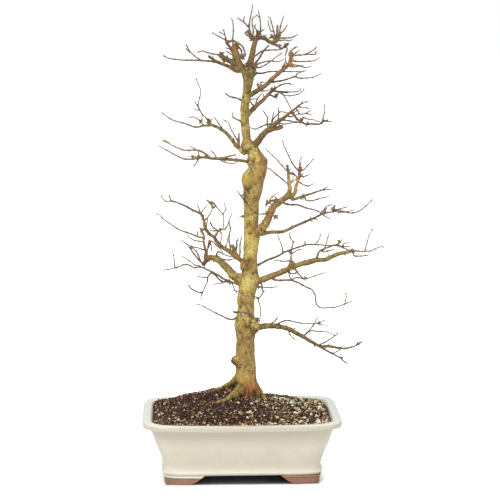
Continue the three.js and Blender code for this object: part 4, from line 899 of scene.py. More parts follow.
        [1.2, 0.9, -8, 312, 219, 316, 219, 318, 221]],
    "limb_right_5": [
        [2.3, 1, 74, 252, 269, 257, 266, 262, 263, 267, 260, 272, 258.5, 278, 256, 284, 252.5, 291, 250,
         298, 247, 305, 245, 312, 244.5, 320, 244.5, 327, 245.5, 335, 246],
        [1.3, 0.8, -12, 284, 252.7, 283, 253, 282, 247, 280, 241, 278, 236],
        [1.2, 0.9, 12, 289, 251, 291, 254, 297, 250, 301, 249.5],
        [1.1, 1.3, 5, 305, 245, 305, 241.5],
        [1.1, 0.8, -10, 313, 244.5, 314, 244.5, 318, 241, 320, 237]],
    "limb_right_6": [
        [6, 3.2, -50, 252, 283, 258, 281, 264, 279, 270, 276.5, 277, 274, 284, 271, 290, 268, 295, 266,
         302, 263.5, 310, 261, 318, 260, 325, 259.5, 330, 257.5, 336, 255, 342, 253, 349, 251.5, 354, 250],
        [5, 4, -8, 291, 267, 292, 262],
        [1.6, 0.8, -14, 292, 263, 291, 260, 291.5, 250, 293, 242, 290, 237, 289.5, 233],
        [1, 0.8, 6, 293, 243, 295, 241.5],
        [1.4, 0.9, 14, 292, 262, 291, 261, 283, 261, 274, 260.5],
        [1.8, 1.5, 7, 286, 270.5, 281, 269],
        [1.8, 1, -18, 294, 266, 295, 268, 298, 273, 302, 278, 305, 280.5],
        [1.4, 0.8, -26, 288, 269, 291, 279, 297, 277.5, 303, 278.5, 309, 278, 314, 276, 318, 274.5, 325,
         272.5],
        [1.4, 0.9, 16, 289, 268.5, 290, 273, 297, 272.5, 299, 270],
        [2, 1, 28, 314, 260.5, 316, 259, 319, 252, 322, 250, 326, 248, 331, 246.5, 336, 245, 344, 248, 349,
         250],
        [1.3, 0.8, 8, 323, 249.5, 324, 250, 327, 241, 328.5, 235, 329.5, 232.5],
        [1.2, 0.8, -8, 335, 245.3, 336, 245, 340, 242, 342.5, 238.5],
        [1.2, 0.8, 10, 337, 245.5, 344, 246.5, 350, 246.5],
        [1.1, 0.8, -6, 343, 246.4, 343.5, 244, 347, 242.5],
        [1.2, 0.9, 14, 322, 250, 323, 252, 329, 250.5, 333, 249.5],
        [1.7, 0.8, -22, 352, 250.5, 354, 250.5, 360, 251.5, 366, 251, 370, 251, 375, 248.5, 380, 247, 382,
         247],
        [1.1, 0.7, 12, 364, 251.2, 365, 250, 367, 243, 369, 236, 371, 231.5],
        [1.4, 0.9, 8, 352, 250.8, 353, 253, 354, 256, 360, 256, 366, 255.5, 369, 255],
        [1.5, 1, 14, 302, 263.5, 304, 265, 310, 264, 316, 262],
        [2, 0.9, -56, 270, 277, 274, 279.5, 279, 280.5, 286, 280, 290, 280, 296, 282, 302, 284.5, 307,
         287.5, 312, 290, 315, 295, 315.5, 300, 317, 305, 321, 307.5, 326, 308, 333, 307.5, 339, 306, 345,
         304, 350, 302.5],
        [1.1, 0.8, 6, 344, 304.3, 345, 304, 345.5, 300, 346.5, 297, 346, 295]],
    "twigs_right_low": [
        [1.4, 0.9, -26, 254, 287, 259, 287, 270, 287.5, 278, 286.5]],
    "twigs_right_hanging": [
        [1.6, 0.8, -14, 256, 282, 262, 284, 262, 288, 263, 292, 262, 294, 259, 298, 258, 300, 260, 305,
         260.5, 312, 260, 319, 260, 324],
        [1.1, 0.8, 4, 262.5, 290, 265, 292.5],
        [1.1, 0.7, -11, 258, 297.5, 252, 296, 245, 294, 238, 291.5, 231.5, 290],
        [1, 0.8, -7, 260, 321, 256, 319, 250, 312.5, 244, 304, 240.5, 297],
        [1.1, 0.8, -3, 259, 298, 255, 298.5]],
    "limb_right_8": [
        [6, 1.2, 88, 250, 329, 254, 328, 260, 327, 267, 326, 275, 326, 282, 327, 290, 329.5, 296, 333, 303,
         336.5, 310, 341, 317, 345, 321, 346.5, 330, 346.5, 340, 348, 346, 348.5, 352, 347, 357, 345, 362,
         341],
        [1.6, 0.8, -22, 274, 326, 277, 325, 281, 322, 287, 320.5, 293, 321.5, 300, 323, 306, 323.5, 314,
         323.5, 318, 323],
        [1.1, 0.8, 6, 317, 323, 319, 323, 325.5, 319.5],
        [1.1, 0.8, -6, 318, 323, 319, 324, 328, 325.5],
        [1.6, 0.9, 26, 303, 336.5, 304, 335.5, 309, 331, 314, 324, 316, 320, 318.5, 317],
        [1.3, 0.8, -14, 306, 334, 308, 332, 312, 331, 320, 331.5, 327, 332, 333, 334],
        [1.2, 1.4, 12, 270, 326, 271, 324, 275, 321, 277.5, 317.5],
        [1.3, 0.9, -14, 288, 329, 289, 333, 291, 336, 295, 339.5],
        [1.4, 0.9, -18, 319, 346, 321, 344, 327, 341, 332, 338, 337, 334],
        [2, 1, 28, 318, 345.5, 319, 346.5, 326, 350.5, 333, 354, 340, 358, 345, 362, 348, 364],
        [1.2, 0.8, -8, 331, 353, 332, 353.5, 338, 351, 340, 348],
        [1, 0.8, 5, 340, 358, 341, 358, 343, 357],
        [1.1, 0.8, -4, 356, 345.5, 357, 344, 358, 341.5]],
    "limb_left_6": [
        [4.6, 1.2, -74, 248, 266, 243, 262, 238, 258, 233, 254.5, 227, 250, 222, 247, 217, 242, 214, 237,
         211, 235, 207, 231, 204.5, 226, 204, 221, 202, 215, 200.5, 213.5, 193, 210, 185, 206, 178, 203,
         171, 200.5],
        [1, 1.3, 5, 172, 201, 171, 200.5, 169.5, 195],
        [1.1, 0.8, -8, 173, 201.3, 171, 201, 166, 201.5, 163, 199, 162, 197.5],
        [1.2, 0.9, 10, 201, 214, 200.5, 214, 203, 210, 206.5, 206],
        [1.2, 0.9, -9, 200, 213.3, 200, 212, 199, 208, 197.5, 204.5],
        [1.4, 0.8, 12, 204, 221, 208, 217, 211, 212, 213, 207.5],
        [1.7, 1.5, -4, 213, 207, 210.6, 203, 206.8, 199.8],
        [1.9, 1.4, 4, 212, 202, 216.4, 205.6],
        [1.2, 0.8, 12, 213, 208, 216, 206.5, 219.5, 210.5, 223, 215, 223.5, 222, 223, 228],
        [1, 0.8, 5, 223, 215, 223.5, 213, 226, 209, 225, 205],
        [1.8, 0.8, 36, 214, 238, 215, 237, 217, 233, 220, 230, 225, 229, 227.5, 225, 229, 220, 231.5, 214],
        [1.2, 0.8, -10, 219, 231, 220, 231, 221, 234, 221, 240, 220, 243.5],
        [1.2, 0.8, 10, 218, 232, 217, 231, 213, 231, 209, 230],
        [1.1, 1.4, -8, 218, 231, 217, 230, 213, 227, 210, 222],
        [1, 0.9, 4, 206, 228, 207.5, 221],
        [4.2, 3, -8, 237, 258, 236, 255, 233.8, 249, 232.2, 245],
        [2.3, 0.9, 10, 236, 256, 236, 250, 237, 245, 236.5, 242.5, 238.5, 238],
        [1.6, 0.8, -16, 239, 258.5, 240, 253, 240, 246, 241, 240, 242, 236],
        [1.4, 1.2, 16, 231, 253, 229.5, 245, 229, 240, 229.5, 234, 230.5, 229, 229.5, 224],
        [1.3, 0.8, -12, 226, 249.5, 225, 248, 227, 243, 228, 237]],
    "limb_left_7": [
        [9, 3.6, 62, 247, 281, 240, 278, 234, 276, 230, 271, 225, 266, 220, 261, 214, 258, 209, 258, 205,
         262, 203, 264.5],
        [2.6, 2, 10, 207, 260, 205, 258, 206, 252, 204.5, 246, 203.5, 240, 204, 237, 203, 233, 201, 228],
        [1.8, 0.8, 24, 204, 239, 204, 238, 199, 237, 193, 234.5, 188, 233, 183, 231, 176, 228, 169, 223,
         163, 219, 160, 215.5, 158, 214],
        [1.2, 0.8, 12, 203.5, 242, 203, 242, 197, 241, 193, 239.5, 189, 237.5],
        [1.3, 0.9, -12, 205.5, 250.5, 205, 250, 200, 248.5, 196, 247, 193, 247.5],
        [1, 1.3, 4, 197, 236, 198, 231.5],
        [1.7, 1.3, -14, 204, 265, 204, 264.5, 199, 260, 195, 255, 190, 248],
        [1.5, 1.2, 8, 200, 261, 199, 257, 196, 251, 191, 246.5],
        [1.1, 0.8, -6, 191, 248, 188, 245, 182, 240.5],
        [1.4, 0.9, 16, 207, 258, 209, 240, 211, 246, 212, 252],
        [1.5, 0.8, 30, 208, 248, 211, 241, 218, 247, 223, 252],
        [1.8, 0.9, 14, 216, 259, 216, 256, 222, 259, 230, 260, 236, 258],
        [1.5, 0.9, -12, 217, 258, 218, 252, 225, 255, 232, 257]],
    "limb_left_8": [
        [2.2, 0.8, -80, 245, 286, 229, 281, 224, 279, 218, 275, 210, 271, 203, 268, 199, 267, 194, 267.5,
         189, 265, 184, 264.5, 180, 266.5, 173, 268.5, 168, 269.5, 163, 270.5],
        [1.3, 0.8, 12, 201, 267.5, 200, 266, 195, 265, 190, 261, 186, 258.5, 182, 256],
        [1.1, 0.7, -8, 176, 268, 175, 268, 174.5, 262, 173.5, 255, 172.5, 249.5],
        [1.7, 0.8, 18, 227, 280.5, 227, 281, 223, 282, 219, 279, 215, 275, 211, 273, 208, 277, 207, 282,
         205, 287, 203, 292, 201, 297, 202, 300],
        [1.1, 0.8, -8, 208, 277, 207, 277.5, 203, 277.5, 199, 276.5, 197, 277],
        [1.2, 1.3, 10, 203, 292, 199, 292.5, 194, 290, 191, 288.5, 188.5, 285],
        [1.1, 0.8, 10, 223, 282, 222, 283, 218, 283.5, 214, 284.5],
        [1.3, 0.8, -12, 230, 281.5, 231, 282, 233, 285, 235, 290, 238, 294]],
    "limb_left_9": [
        [2, 0.8, -46, 244, 316, 237, 317, 234, 319, 230, 319, 226, 318, 222, 316, 215, 313, 208, 309, 201,
         305, 197, 304.5]],
    "stub_low_left": [
        [2.2, 1.7, -4, 243, 313, 237, 312.5, 233, 311.5],
        [1.6, 1.4, -22, 237, 312.5, 238, 312, 244, 312.6, 251, 313.2]]}

# Lumps: place on the front view with its depth, and half sizes in mm
TRUNK_LUMPS = [
    ((247.6, 181, 3), (10.5, 12, 17)), ((261, 164, 8), (11.5, 12, 17)), ((256, 172, 24), (12, 12, 24)),
    ((247, 266, -2), (5.5, 4.5, 8)), ((250, 230, 1), (5, 4.5, 7)), ((253.6, 326, 6), (11, 12, 15)),
    ((257.4, 319, 12), (4, 5, 3.4)), ((240.5, 326, 3), (7, 6, 13)), ((247, 322, -2), (7, 5, 10)),
    ((240, 300, 5), (5, 6, 15)), ((255, 192, 7), (7, 6, 12)), ((246.5, 146.5, 6), (6, 8, 8)),
    ((243, 122, 6), (4, 6, 8)), ((242.4, 266, 5), (4.6, 6, 10)), ((247, 101, 6), (6, 6, 7)),
    ((254, 387, 8), (6, 8, 10))]
# The cut stump of a limb at the left: points on the front view, with the radius at each of them and its depth
STUMP = [(241.5, 363), (236, 360.5), (231.8, 359.2)]
STUMP_RADII = (12.5, 10, 5)
STUMP_DEPTH = 12
# How far in front of the trunk's own depth and how far behind it, in mm, a root may come to lie
ROOT_NEAREST = 70
ROOT_FURTHEST = 55
# How far a collar reaches along its limb, in m, and its radius at shares of that way, in radii of the limb
COLLAR_REACH = 0.022
COLLAR_RADII = [(0, 1.3), (0.6, 1.35), (1, 0.98)]
# A limb's depth changes slowly near its root and faster towards its tip
REACH_CURVE = 1.2
# Size in mm of the grid on which the trunk's parts are melted together
TRUNK_VOXEL = 1.2
# The middle of the flare, around which the bark is deeply fluted
BASE = in_space(247, 392, 20)
# Marks on the front of the trunk, as lines on the front view: (width in view units, how dark), then points
TRUNK_MARKS = [
    ((0.8, 0.5), [(249.2, 165), (252.2, 173), (253.4, 181)]), ((1.6, 1), [(267.8, 160.5), (268.6, 163.5)]),
    ((0.8, 1), [(251.2, 188), (254, 186), (258, 183)]),
    ((0.75, 1), [(243.6, 199), (246.5, 203), (249.2, 206.2), (252.3, 211)]),
    ((1.2, 0.8), [(248.8, 205.5), (249.6, 206.6)]), ((1.2, 0.5), [(254.5, 212.6), (257.6, 213)]),
    ((0.9, 0.6), [(248, 189), (248.6, 193)]), ((1.1, 0.8), [(247.8, 313), (250, 315), (253, 318)]),
    ((1.1, 1), [(246.6, 264.6), (247.4, 267)]), ((0.8, 0.7), [(244.6, 261), (246.5, 260.6), (249.5, 261.5)]),
    ((0.8, 0.75), [(240.4, 272.4), (244, 274.6), (249, 274.2), (253, 273), (256.5, 272)]),
    ((1.5, 0.9), [(240.6, 270), (241.4, 272.6)]), ((0.8, 0.7), [(240.3, 279.2), (240.8, 280.4)]),
    ((0.8, 0.75), [(255.4, 280.6), (255.8, 282)]), ((0.6, 0.6), [(247.2, 283.6), (248, 284)]),
    ((0.6, 0.5), [(249.8, 255), (250.6, 258), (249.4, 261)]), ((0.7, 0.6), [(254.4, 251), (255.4, 251.4)]),
    ((0.6, 0.5), [(250.6, 242.6), (251, 243.6)]), ((0.8, 0.6), [(253.2, 228), (254, 231)]),
    ((0.5, 0.6), [(253.4, 350), (250, 352.2), (246, 354)]), ((1.1, 0.8), [(249.6, 228.6), (250.4, 231.4)]),
    ((0.8, 1), [(250.4, 328.6), (250.8, 329.6)]), ((0.8, 0.9), [(253.8, 327.6), (254.4, 328.4)]),
    ((1.2, 0.8), [(257.4, 318.4), (258, 319.6)]),
    ((0.9, 0.9), [(249.8, 327), (251, 330.2), (254.5, 331.4), (257.4, 330.6)]),
    ((0.7, 0.6), [(249, 321), (252, 323), (256, 322)]), ((1, 0.8), [(243.5, 320), (246, 324), (245.5, 329)]),
    ((1.4, 0.9), [(231.6, 359.6), (233, 364), (235.4, 367.4)]),
    ((0.5, 0.35), [(244, 285), (248, 287), (252, 286)]),
    ((0.5, 0.3), [(246, 214), (250, 215.5), (255, 214)]),
    ((0.5, 0.35), [(247, 198), (251, 199.5), (256, 197)]),
    ((0.9, 0.7), [(243, 152), (248, 150.5), (251, 147)]),
    ((0.5, 0.3), [(242, 244), (246, 245.5), (251, 245)]),
    ((0.5, 0.35), [(241, 116), (245, 117.5), (248.5, 116)]), ((0.5, 0.4), [(243, 106), (246, 107)]),
    ((1.3, 0.9), [(242.6, 68.4), (245.4, 70.8)]), ((1, 0.9), [(251.4, 66.6), (255, 69)]),
    ((1, 0.8), [(244, 66), (249, 66.4)]), ((0.8, 0.6), [(247, 73), (248, 78)]),
    ((0.8, 0.7), [(254.4, 72.6), (255, 76.6)]), ((0.7, 0.7), [(246, 119), (247, 124)]),
    ((0.8, 0.8), [(243.4, 110.6), (246.6, 112.6)]), ((0.7, 0.8), [(245, 92.4), (248.6, 93.6)])]
# How deep the darkest mark is cut into the bark, in mm
MARK_DEPTH = 1.1
# Some are painted highlights on lit swellings, and painted shade under limb joints and between the roots
# Stains and painted light on the trunk: centre on the front view with its depth, reach in mm, colour and
# strength
STAINS_AND_PAINTED_LIGHT = [
    ((243.5, 180, 2), 15, (224, 190, 92), 0.9), ((250.5, 180, -4), 22, (152, 134, 44), 0.85),
    ((260.5, 180, 2), 26, (172, 126, 78), 0.8), ((264, 163, 0), 22, (158, 112, 62), 0.7),
    ((256, 189, 0), 11, (214, 172, 112), 0.8), ((247.5, 192, 0), 10, (126, 106, 40), 0.7),
    ((251, 205, -2), 22, (176, 136, 76), 0.6), ((247, 92, 0), 48, (90, 70, 22), 0.95),
    ((246, 124, 0), 44, (140, 118, 62), 0.7), ((249, 70, -9), 26, (52, 38, 8), 1),
    ((254, 78, -6), 14, (110, 92, 34), 0.8), ((250, 266, -4), 26, (106, 68, 20), 1),
    ((253.5, 266, -4), 10, (172, 124, 80), 0.6), ((248, 284, -4), 30, (222, 200, 112), 0.75),
    ((249, 243, -2), 34, (220, 196, 108), 0.7), ((247, 182, -8), 16, (150, 118, 40), 0.4),
    ((238, 285, 4), 11, (84, 68, 18), 0.9), ((255, 232, 4), 20, (160, 118, 48), 0.6),
    ((254.5, 389, 2), 28, (152, 76, 28), 0.95), ((247, 389, 0), 22, (146, 78, 30), 0.85),
    ((243.5, 395, 2), 17, (80, 44, 36), 0.9), ((251, 397, 0), 14, (104, 56, 34), 0.8),
    ((245, 342, 0), 32, (140, 104, 56), 0.95), ((245, 356, 0), 32, (144, 108, 60), 0.95),
    ((254, 346, 2), 14, (178, 122, 92), 0.8), ((254.5, 358, 2), 13, (170, 126, 88), 0.7),
    ((245, 324, 0), 22, (136, 106, 48), 0.45), ((246, 306, 0), 26, (192, 166, 92), 0.5),
    ((244, 379, 0), 26, (204, 158, 78), 0.7), ((252, 376, 0), 16, (160, 112, 54), 0.5),
    ((220, 388.6, 30), 34, (84, 64, 34), 1), ((236, 382, 10), 14, (186, 140, 86), 0.8),
    ((212, 392, 30), 20, (120, 84, 66), 0.8), ((222, 400, -20), 30, (112, 80, 36), 1),
    ((205, 404, -15), 40, (96, 64, 40), 1), ((236, 399, -16), 16, (98, 58, 44), 0.85),
    ((264, 395, -4), 16, (104, 78, 38), 0.85), ((234, 389, 6), 14, (110, 70, 48), 0.8),
    ((231.6, 360, 0), 10, (128, 100, 66), 0.6), ((246, 142, 4), 14, (134, 104, 54), 0.9),
    ((251, 218, -2), 20, (142, 118, 56), 0.75), ((256, 398, 4), 13, (58, 36, 20), 0.85),
    ((247, 391, 2), 12, (96, 52, 22), 0.7)]


def trunk_middle(v):
    """The middle of the trunk at a height line, as (u, v, depth)."""
    for above, below in zip(TRUNK_OUTLINE[1:], TRUNK_OUTLINE):
        if above[0] <= v <= below[0]:
            share = (v - above[0]) / (below[0] - above[0])
            left, right, depth = (a + share * (b - a) for a, b in zip(above[1:], below[1:]))
            return (left + right) / 2, v, depth
    _, left, right, depth = TRUNK_OUTLINE[-1]
    return (left + right) / 2, v, depth


def drawn_points(route):
    """The points of a route as (u, v) pairs."""
    return list(zip(route[3::2], route[4::2]))


def radius_at(route, share):
    """The radius of a route in mm at a share of its way."""
    return route[0] + (route[1] - route[0]) * share


def eased(points, step):
    """A smooth line through points, as (place, share of the way) about every step metres."""
    spans = [(b - a).length for a, b in zip(points, points[1:])]
    whole = sum(spans)
    ways = []
    for index in range(len(points)):
        before, after = points[max(0, index - 1)], points[min(len(points) - 1, index + 1)]
        ways.append((after - before).normalized())
    line, gone = [], 0
    for index, span in enumerate(spans):
        pieces = max(1, round(span / step))
        a, b = points[index], points[index + 1]
        for piece in range(pieces):
            t = piece / pieces
            place = ((1 + 2 * t) * (1 - t) ** 2) * a + (t * (1 - t) ** 2 * span * 0.8) * ways[index] \
                + (t * t * (3 - 2 * t)) * b + (t * t * (t - 1) * span * 0.8) * ways[index + 1]
            line.append((place, (gone + t * span) / whole))
        gone += span
    line.append((points[-1], 1.0))
    return line


def draw_tubes(name, lines, sides):
    """Round tubes along lines of (place, radius) in metres, drawn as one curve and made a mesh."""
    curve = bpy.data.curves.new(name, "CURVE")
    curve.dimensions = "3D"
    curve.bevel_depth = 1
    curve.bevel_resolution = (sides - 4) // 2
    curve.use_fill_caps = True
    for line in lines:
        spline = curve.splines.new("POLY")
        spline.points.add(len(line) - 1)
        for point, (place, radius) in zip(spline.points, line):
            point.co = (*place, 1)
            point.radius = radius
    select_only(add_to_scene(name, curve))
    bpy.ops.object.convert(target="MESH")
    piece = bpy.context.object
    edit_all()
    bpy.ops.mesh.remove_doubles(threshold=0.00002)
    close_up()
    return piece


def melted(piece, voxel, smoothing):
    """All the overlapping parts of a piece become one closed skin."""
    apply_modifier(piece, "REMESH", mode="VOXEL", voxel_size=voxel * MM)
    apply_modifier(piece, "SMOOTH", factor=0.5, iterations=smoothing)


def root_line(route):
    """A surface root, which runs down from the trunk and then along the soil, half sunk in it."""
    drawn = drawn_points(route)
    start = trunk_middle(drawn[0][1])[2]
    points = []
    for index, (u, v) in enumerate(drawn):
        share = index / (len(drawn) - 1)
        depth = start + route[2] * share
        if index > 0:
            lift = radius_at(route, share ** 0.8) * 0.5 - 2.5 * max(0, share - 0.6)
            lying = min(start + ROOT_FURTHEST, max(start - ROOT_NEAREST, on_soil(u, v, lift)))
            depth += (lying - depth) * min(1, index / 2)
        points.append(in_space(u, v, depth))
    return [(place, radius_at(route, share ** 0.8) * MM) for place, share in eased(points, 0.003)]


def collar_line(route):
    """The swollen collar where a limb leaves the trunk."""
    (u0, v0), (u1, v1) = drawn_points(route)[:2]
    depth = trunk_middle(v0)[2]
    inner = in_space(u0, v0, depth)
    outer = in_space(u1, v1, depth + route[2] * (1 / (len(drawn_points(route)) - 1)) ** REACH_CURVE)
    reach = min(1, COLLAR_REACH / (outer - inner).length)
    return [(inner.lerp(outer, reach * share), route[0] * width * MM) for share, width in COLLAR_RADII]


deselect()
bpy.ops.mesh.primitive_circle_add(vertices=TRUNK_SIDES, radius=1, location=(0, 0, 0))
trunk = bpy.context.object
trunk.name = "trunk_bark"
v, left, right, depth = TRUNK_OUTLINE[0]
middle = in_space((left + right) / 2, v, depth)
for vertex in trunk.data.vertices:
    vertex.co = middle + vertex.co * ((right - left) / 2 * UNIT * MM)
edit_all()
for before, (v, left, right, depth) in zip(TRUNK_OUTLINE, TRUNK_OUTLINE[1:]):
    place = in_space((left + right) / 2, v, depth)
    scale = (right - left) / (before[2] - before[1])
    bpy.ops.mesh.extrude_region_move(TRANSFORM_OT_translate={"value": place - middle})
    bpy.ops.transform.resize(value=(scale, scale, 1), center_override=place)
    middle = place
bpy.ops.mesh.select_all(action="DESELECT")
bpy.ops.mesh.select_mode(type="EDGE")
bpy.ops.mesh.select_non_manifold(extend=False)
bpy.ops.mesh.edge_face_add()
close_up()

trunk_parts = [trunk]
for (u, v, depth), size in TRUNK_LUMPS:
    deselect()
    bpy.ops.mesh.primitive_uv_sphere_add(segments=24, ring_count=14, radius=1, location=(0, 0, 0))
    trunk_parts.append(bpy.context.object)
    bpy.ops.object.mode_set(mode="EDIT")
    bpy.ops.transform.resize(value=[half * MM for half in size], center_override=(0, 0, 0))
    bpy.ops.transform.translate(value=in_space(u, v, depth))
    bpy.ops.object.mode_set(mode="OBJECT")
collars = [collar_line(routes[0]) for name, routes in LIMBS.items() if not name.startswith("crown")]
collars.append([(in_space(u, v, STUMP_DEPTH), radius * MM) for (u, v), radius in zip(STUMP, STUMP_RADII)])
trunk_parts.append(draw_tubes("roots", [root_line(route) for route in ROOTS], 14))
trunk_parts.append(draw_tubes("collars", collars, 12))
trunk = join_pieces(trunk_parts, "trunk_bark")
melted(trunk, TRUNK_VOXEL, 4)


def bark_relief(place, girth):
    """How far the bark stands out, in mm: long swellings along the grain, flakes and small scars."""
    flutes = noise.noise(Vector((place.x * 90, place.y * 90, place.z * 16)))
    low = min(1, max(0, (0.24 - place.z) / 0.08))
    low *= min(1, max(0, 2 - math.hypot(place.x - BASE.x, place.y - BASE.y) / 0.028))
    knots = noise.noise(place * 55 + Vector((3, 1, 7)))
    flakes = noise.noise(Vector((place.x * 330, place.y * 330, place.z * 120)) + Vector((9, 2, 1)))
    fine = noise.noise(place * 650)
    return girth * (0.4 + (0.6 + 1.9 * low) * flutes + 0.95 * knots + 0.42 * flakes + 0.2 * fine)


def mark_depth(u, v):
    """How deep in a mark a point of the front view lies, from 0 to 1."""
    deepest = 0
    for (width, strength), points in TRUNK_MARKS:
        for (u0, v0), (u1, v1) in zip(points, points[1:]):
            across, down = u1 - u0, v1 - v0
            t = min(1, max(0, ((u - u0) * across + (v - v0) * down) / (across ** 2 + down ** 2)))
            away = math.hypot(u - u0 - t * across, v - v0 - t * down) / width
            deepest = max(deepest, strength * math.exp(-away ** 2))
    return deepest


normals = [vertex.normal.copy() for vertex in trunk.data.vertices]
for vertex, normal in zip(trunk.data.vertices, normals):
    vertex.co += normal * (bark_relief(vertex.co, 1) * MM)
bpy.ops.object.shade_smooth()
normals = [vertex.normal.copy() for vertex in trunk.data.vertices]
scars = [mark_depth(*on_view(vertex.co)) * min(1, 3 * max(0, -normal.dot(view_ahead)))
         for vertex, normal in zip(trunk.data.vertices, normals)]
for vertex, normal, depth in zip(trunk.data.vertices, normals, scars):
    vertex.co -= normal * (MARK_DEPTH * depth * MM)
give_values(trunk, "scar", scars)
# How far each point faces down, for the painted shade on the undersides
give_values(trunk, "under", [max(0, -normal.z) for normal in normals])


# Bark, for the trunk and every limb: olive tan on old wood, purple grey on thin twigs, flaking in small
# plates with dark lenticels. Girth is 1 from 8 mm radius up and 0 on the thinnest shoot.
bark, taken, given = shade_group(
    "maple_bark", {"Place": "Vector", "Girth": "Float", "Scar": "Float", "Tone": "Float"},
    {"Colour": "Color", "Height": "Float"})
where, girth, tone = (taken.outputs[name] for name in ("Place", "Girth", "Tone"))
patches = grain(bark, where, 26, detail=5, rough=0.6, warp=0.4)
blotches = grain(bark, where, 105, detail=5, rough=0.66, stretch=(1, 1, 0.7), warp=0.3)
flakes = grain(bark, where, 270, detail=6, rough=0.72, stretch=(1, 1, 0.85))
bands = grain(bark, where, 120, detail=4, rough=0.6, stretch=(1, 1, 4))
pores = put(bark, "TexVoronoi", {"Vector": where, "Scale": 360, "Randomness": 1}).outputs["Distance"]
old = coats(bark, paint(110, 87, 34), (blotches, 0.36, 0.62, 1, (185, 161, 81)),
            (patches, 0.5, 0.66, 0.55, (180, 168, 87)), (patches, 0.48, 0.34, 0.5, (142, 98, 51)),
            (flakes, 0.5, 0.64, 0.7, (217, 202, 140)))
middle_aged = coats(bark, paint(93, 77, 36), (blotches, 0.36, 0.64, 1, (151, 128, 70)),
                    (tone, 0.55, 1.0, 0.45, (149, 102, 57)), (flakes, 0.48, 0.7, 0.4, (178, 153, 96)))
young = coats(bark, paint(94, 84, 68), (tone, 0.15, 0.6, 1, (142, 126, 98)),
              (tone, 0.7, 0.95, 0.6, (118, 80, 62)), (flakes, 0.52, 0.3, 0.55, (53, 42, 32)))
colour = blend(bark, fade(bark, girth, 0.16, 0.4), young, middle_aged)
colour = blend(bark, fade(bark, girth, 0.4, 1.1), colour, old)
colour = coats(bark, colour, (flakes, 0.47, 0.34, 0.8, (68, 45, 9)))
dots = maths(bark, "MULTIPLY", fade(bark, pores, 0.32, 0.18, 0, 0.85), fade(bark, patches, 0.36, 0.5))
colour = blend(bark, maths(bark, "MULTIPLY", dots, girth), colour, paint(62, 40, 15))
rings = maths(bark, "MULTIPLY", fade(bark, bands, 0.6, 0.72, 0, 0.45), girth)
colour = blend(bark, rings, colour, paint(98, 74, 42))
colour = blend(bark, taken.outputs["Scar"], colour, paint(47, 28, 17))
height = maths(bark, "ADD", maths(bark, "MULTIPLY", blotches, 0.6), maths(bark, "MULTIPLY", flakes, 0.6))
wire(bark, given, {"Colour": colour, "Height": height})


# A stain: full inside its core and gone beyond its reach, both in metres. An offset to the distance makes
# its outline ragged.
stain, taken, given = shade_group(
    "stain", {"Place": "Vector", "Centre": "Vector", "Reach": "Float", "Core": "Float", "Strength": "Float",
              "Ragged": "Float"}, {"Share": "Float"})
away = put(stain, "VectorMath", {0: taken.outputs["Place"], 1: taken.outputs["Centre"]},
           operation="DISTANCE").outputs["Value"]
away = maths(stain, "ADD", away, taken.outputs["Ragged"])
wire(stain, given, {"Share": fade(stain, away, taken.outputs["Reach"], taken.outputs["Core"], 0,
                                  taken.outputs["Strength"])})


def stain_share(tree, where, centre, reach, core, strength, ragged):
    """In a material, how strongly a stain of this reach and core in mm shows."""
    return put(tree, "Group", {"Place": where, "Centre": centre, "Reach": reach * MM, "Core": core * MM,
                               "Strength": strength, "Ragged": ragged}, node_tree=stain).outputs["Share"]


trunk_skin, tree, shader = bare_material("trunk_bark")
where = put(tree, "TexCoord").outputs["Object"]
made = put(tree, "Group", node_tree=bark)
wire(tree, made, {"Place": where, "Girth": 1, "Tone": 0.3, "Scar": read_value(tree, "scar")})
colour = made.outputs["Colour"]
streaks = fade(tree, grain(tree, where, 170, detail=4, rough=0.65, stretch=(1, 1, 0.25)), 0.4, 0.6, 0.3, 1)
blots = maths(tree, "MULTIPLY", maths(tree, "SUBTRACT", grain(tree, where, 60, detail=4), 0.5), 0.03)
# Stains, painted highlights and painted shade laid over the bark
for centre, reach, tint, strength in STAINS_AND_PAINTED_LIGHT:
    share = stain_share(tree, where, in_space(*centre), reach, 0.35 * reach, strength, blots)
    share = maths(tree, "MULTIPLY", share, streaks)
    colour = blend(tree, share, colour, blend(tree, 0.75, colour, paint(*tint)))
# Painted shade: undersides, turned away from the light above, are darkened
painted_underside_shade = maths(tree, "MULTIPLY", read_value(tree, "under"), 0.85)
wire(tree, shader, {"Base Color": blend(tree, painted_underside_shade, colour, paint(72, 42, 34)), "Roughness": 0.72})
relief(tree, shader, made.outputs["Height"], 0.0012)
trunk.data.materials.append(trunk_skin)
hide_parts("trunk")
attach(trunk, "root")


# Limbs: each limb that leaves the trunk is one piece with all its twigs, buds and spurs, drawn as tubes
# along its routes. Thick branches are melted into one body, and the bark grows younger as they grow thinner.
DARK_LIMBS = ["crown_leader", "crown_left", "limb_right_1", "limb_right_2", "limb_right_3"]
# A branch at least this thick at its root, in mm, belongs to the limb's melted body
THICK = 2.4
# Size in mm of the grid on which the thick branches are melted together
LIMB_VOXEL = 0.75
# A tip thinner than this, in mm, is alive and ends in buds; a thicker one was cut
LIVE_TIP = 1.3
# Wood thinner than this, in mm, carries buds in opposite pairs, thicker wood short spurs
SPUR_WOOD = 1.9
# The radius in mm of a girth of 1
FULL_GIRTH = 8
# How much wider than drawn the twigs are, in the dark crown and elsewhere
DARK_TWIG_WIDTH = 1.08
TWIG_WIDTH = 1.02
# The kinds of buds, as the material reads them
CLOSED, OPEN = 1, 2
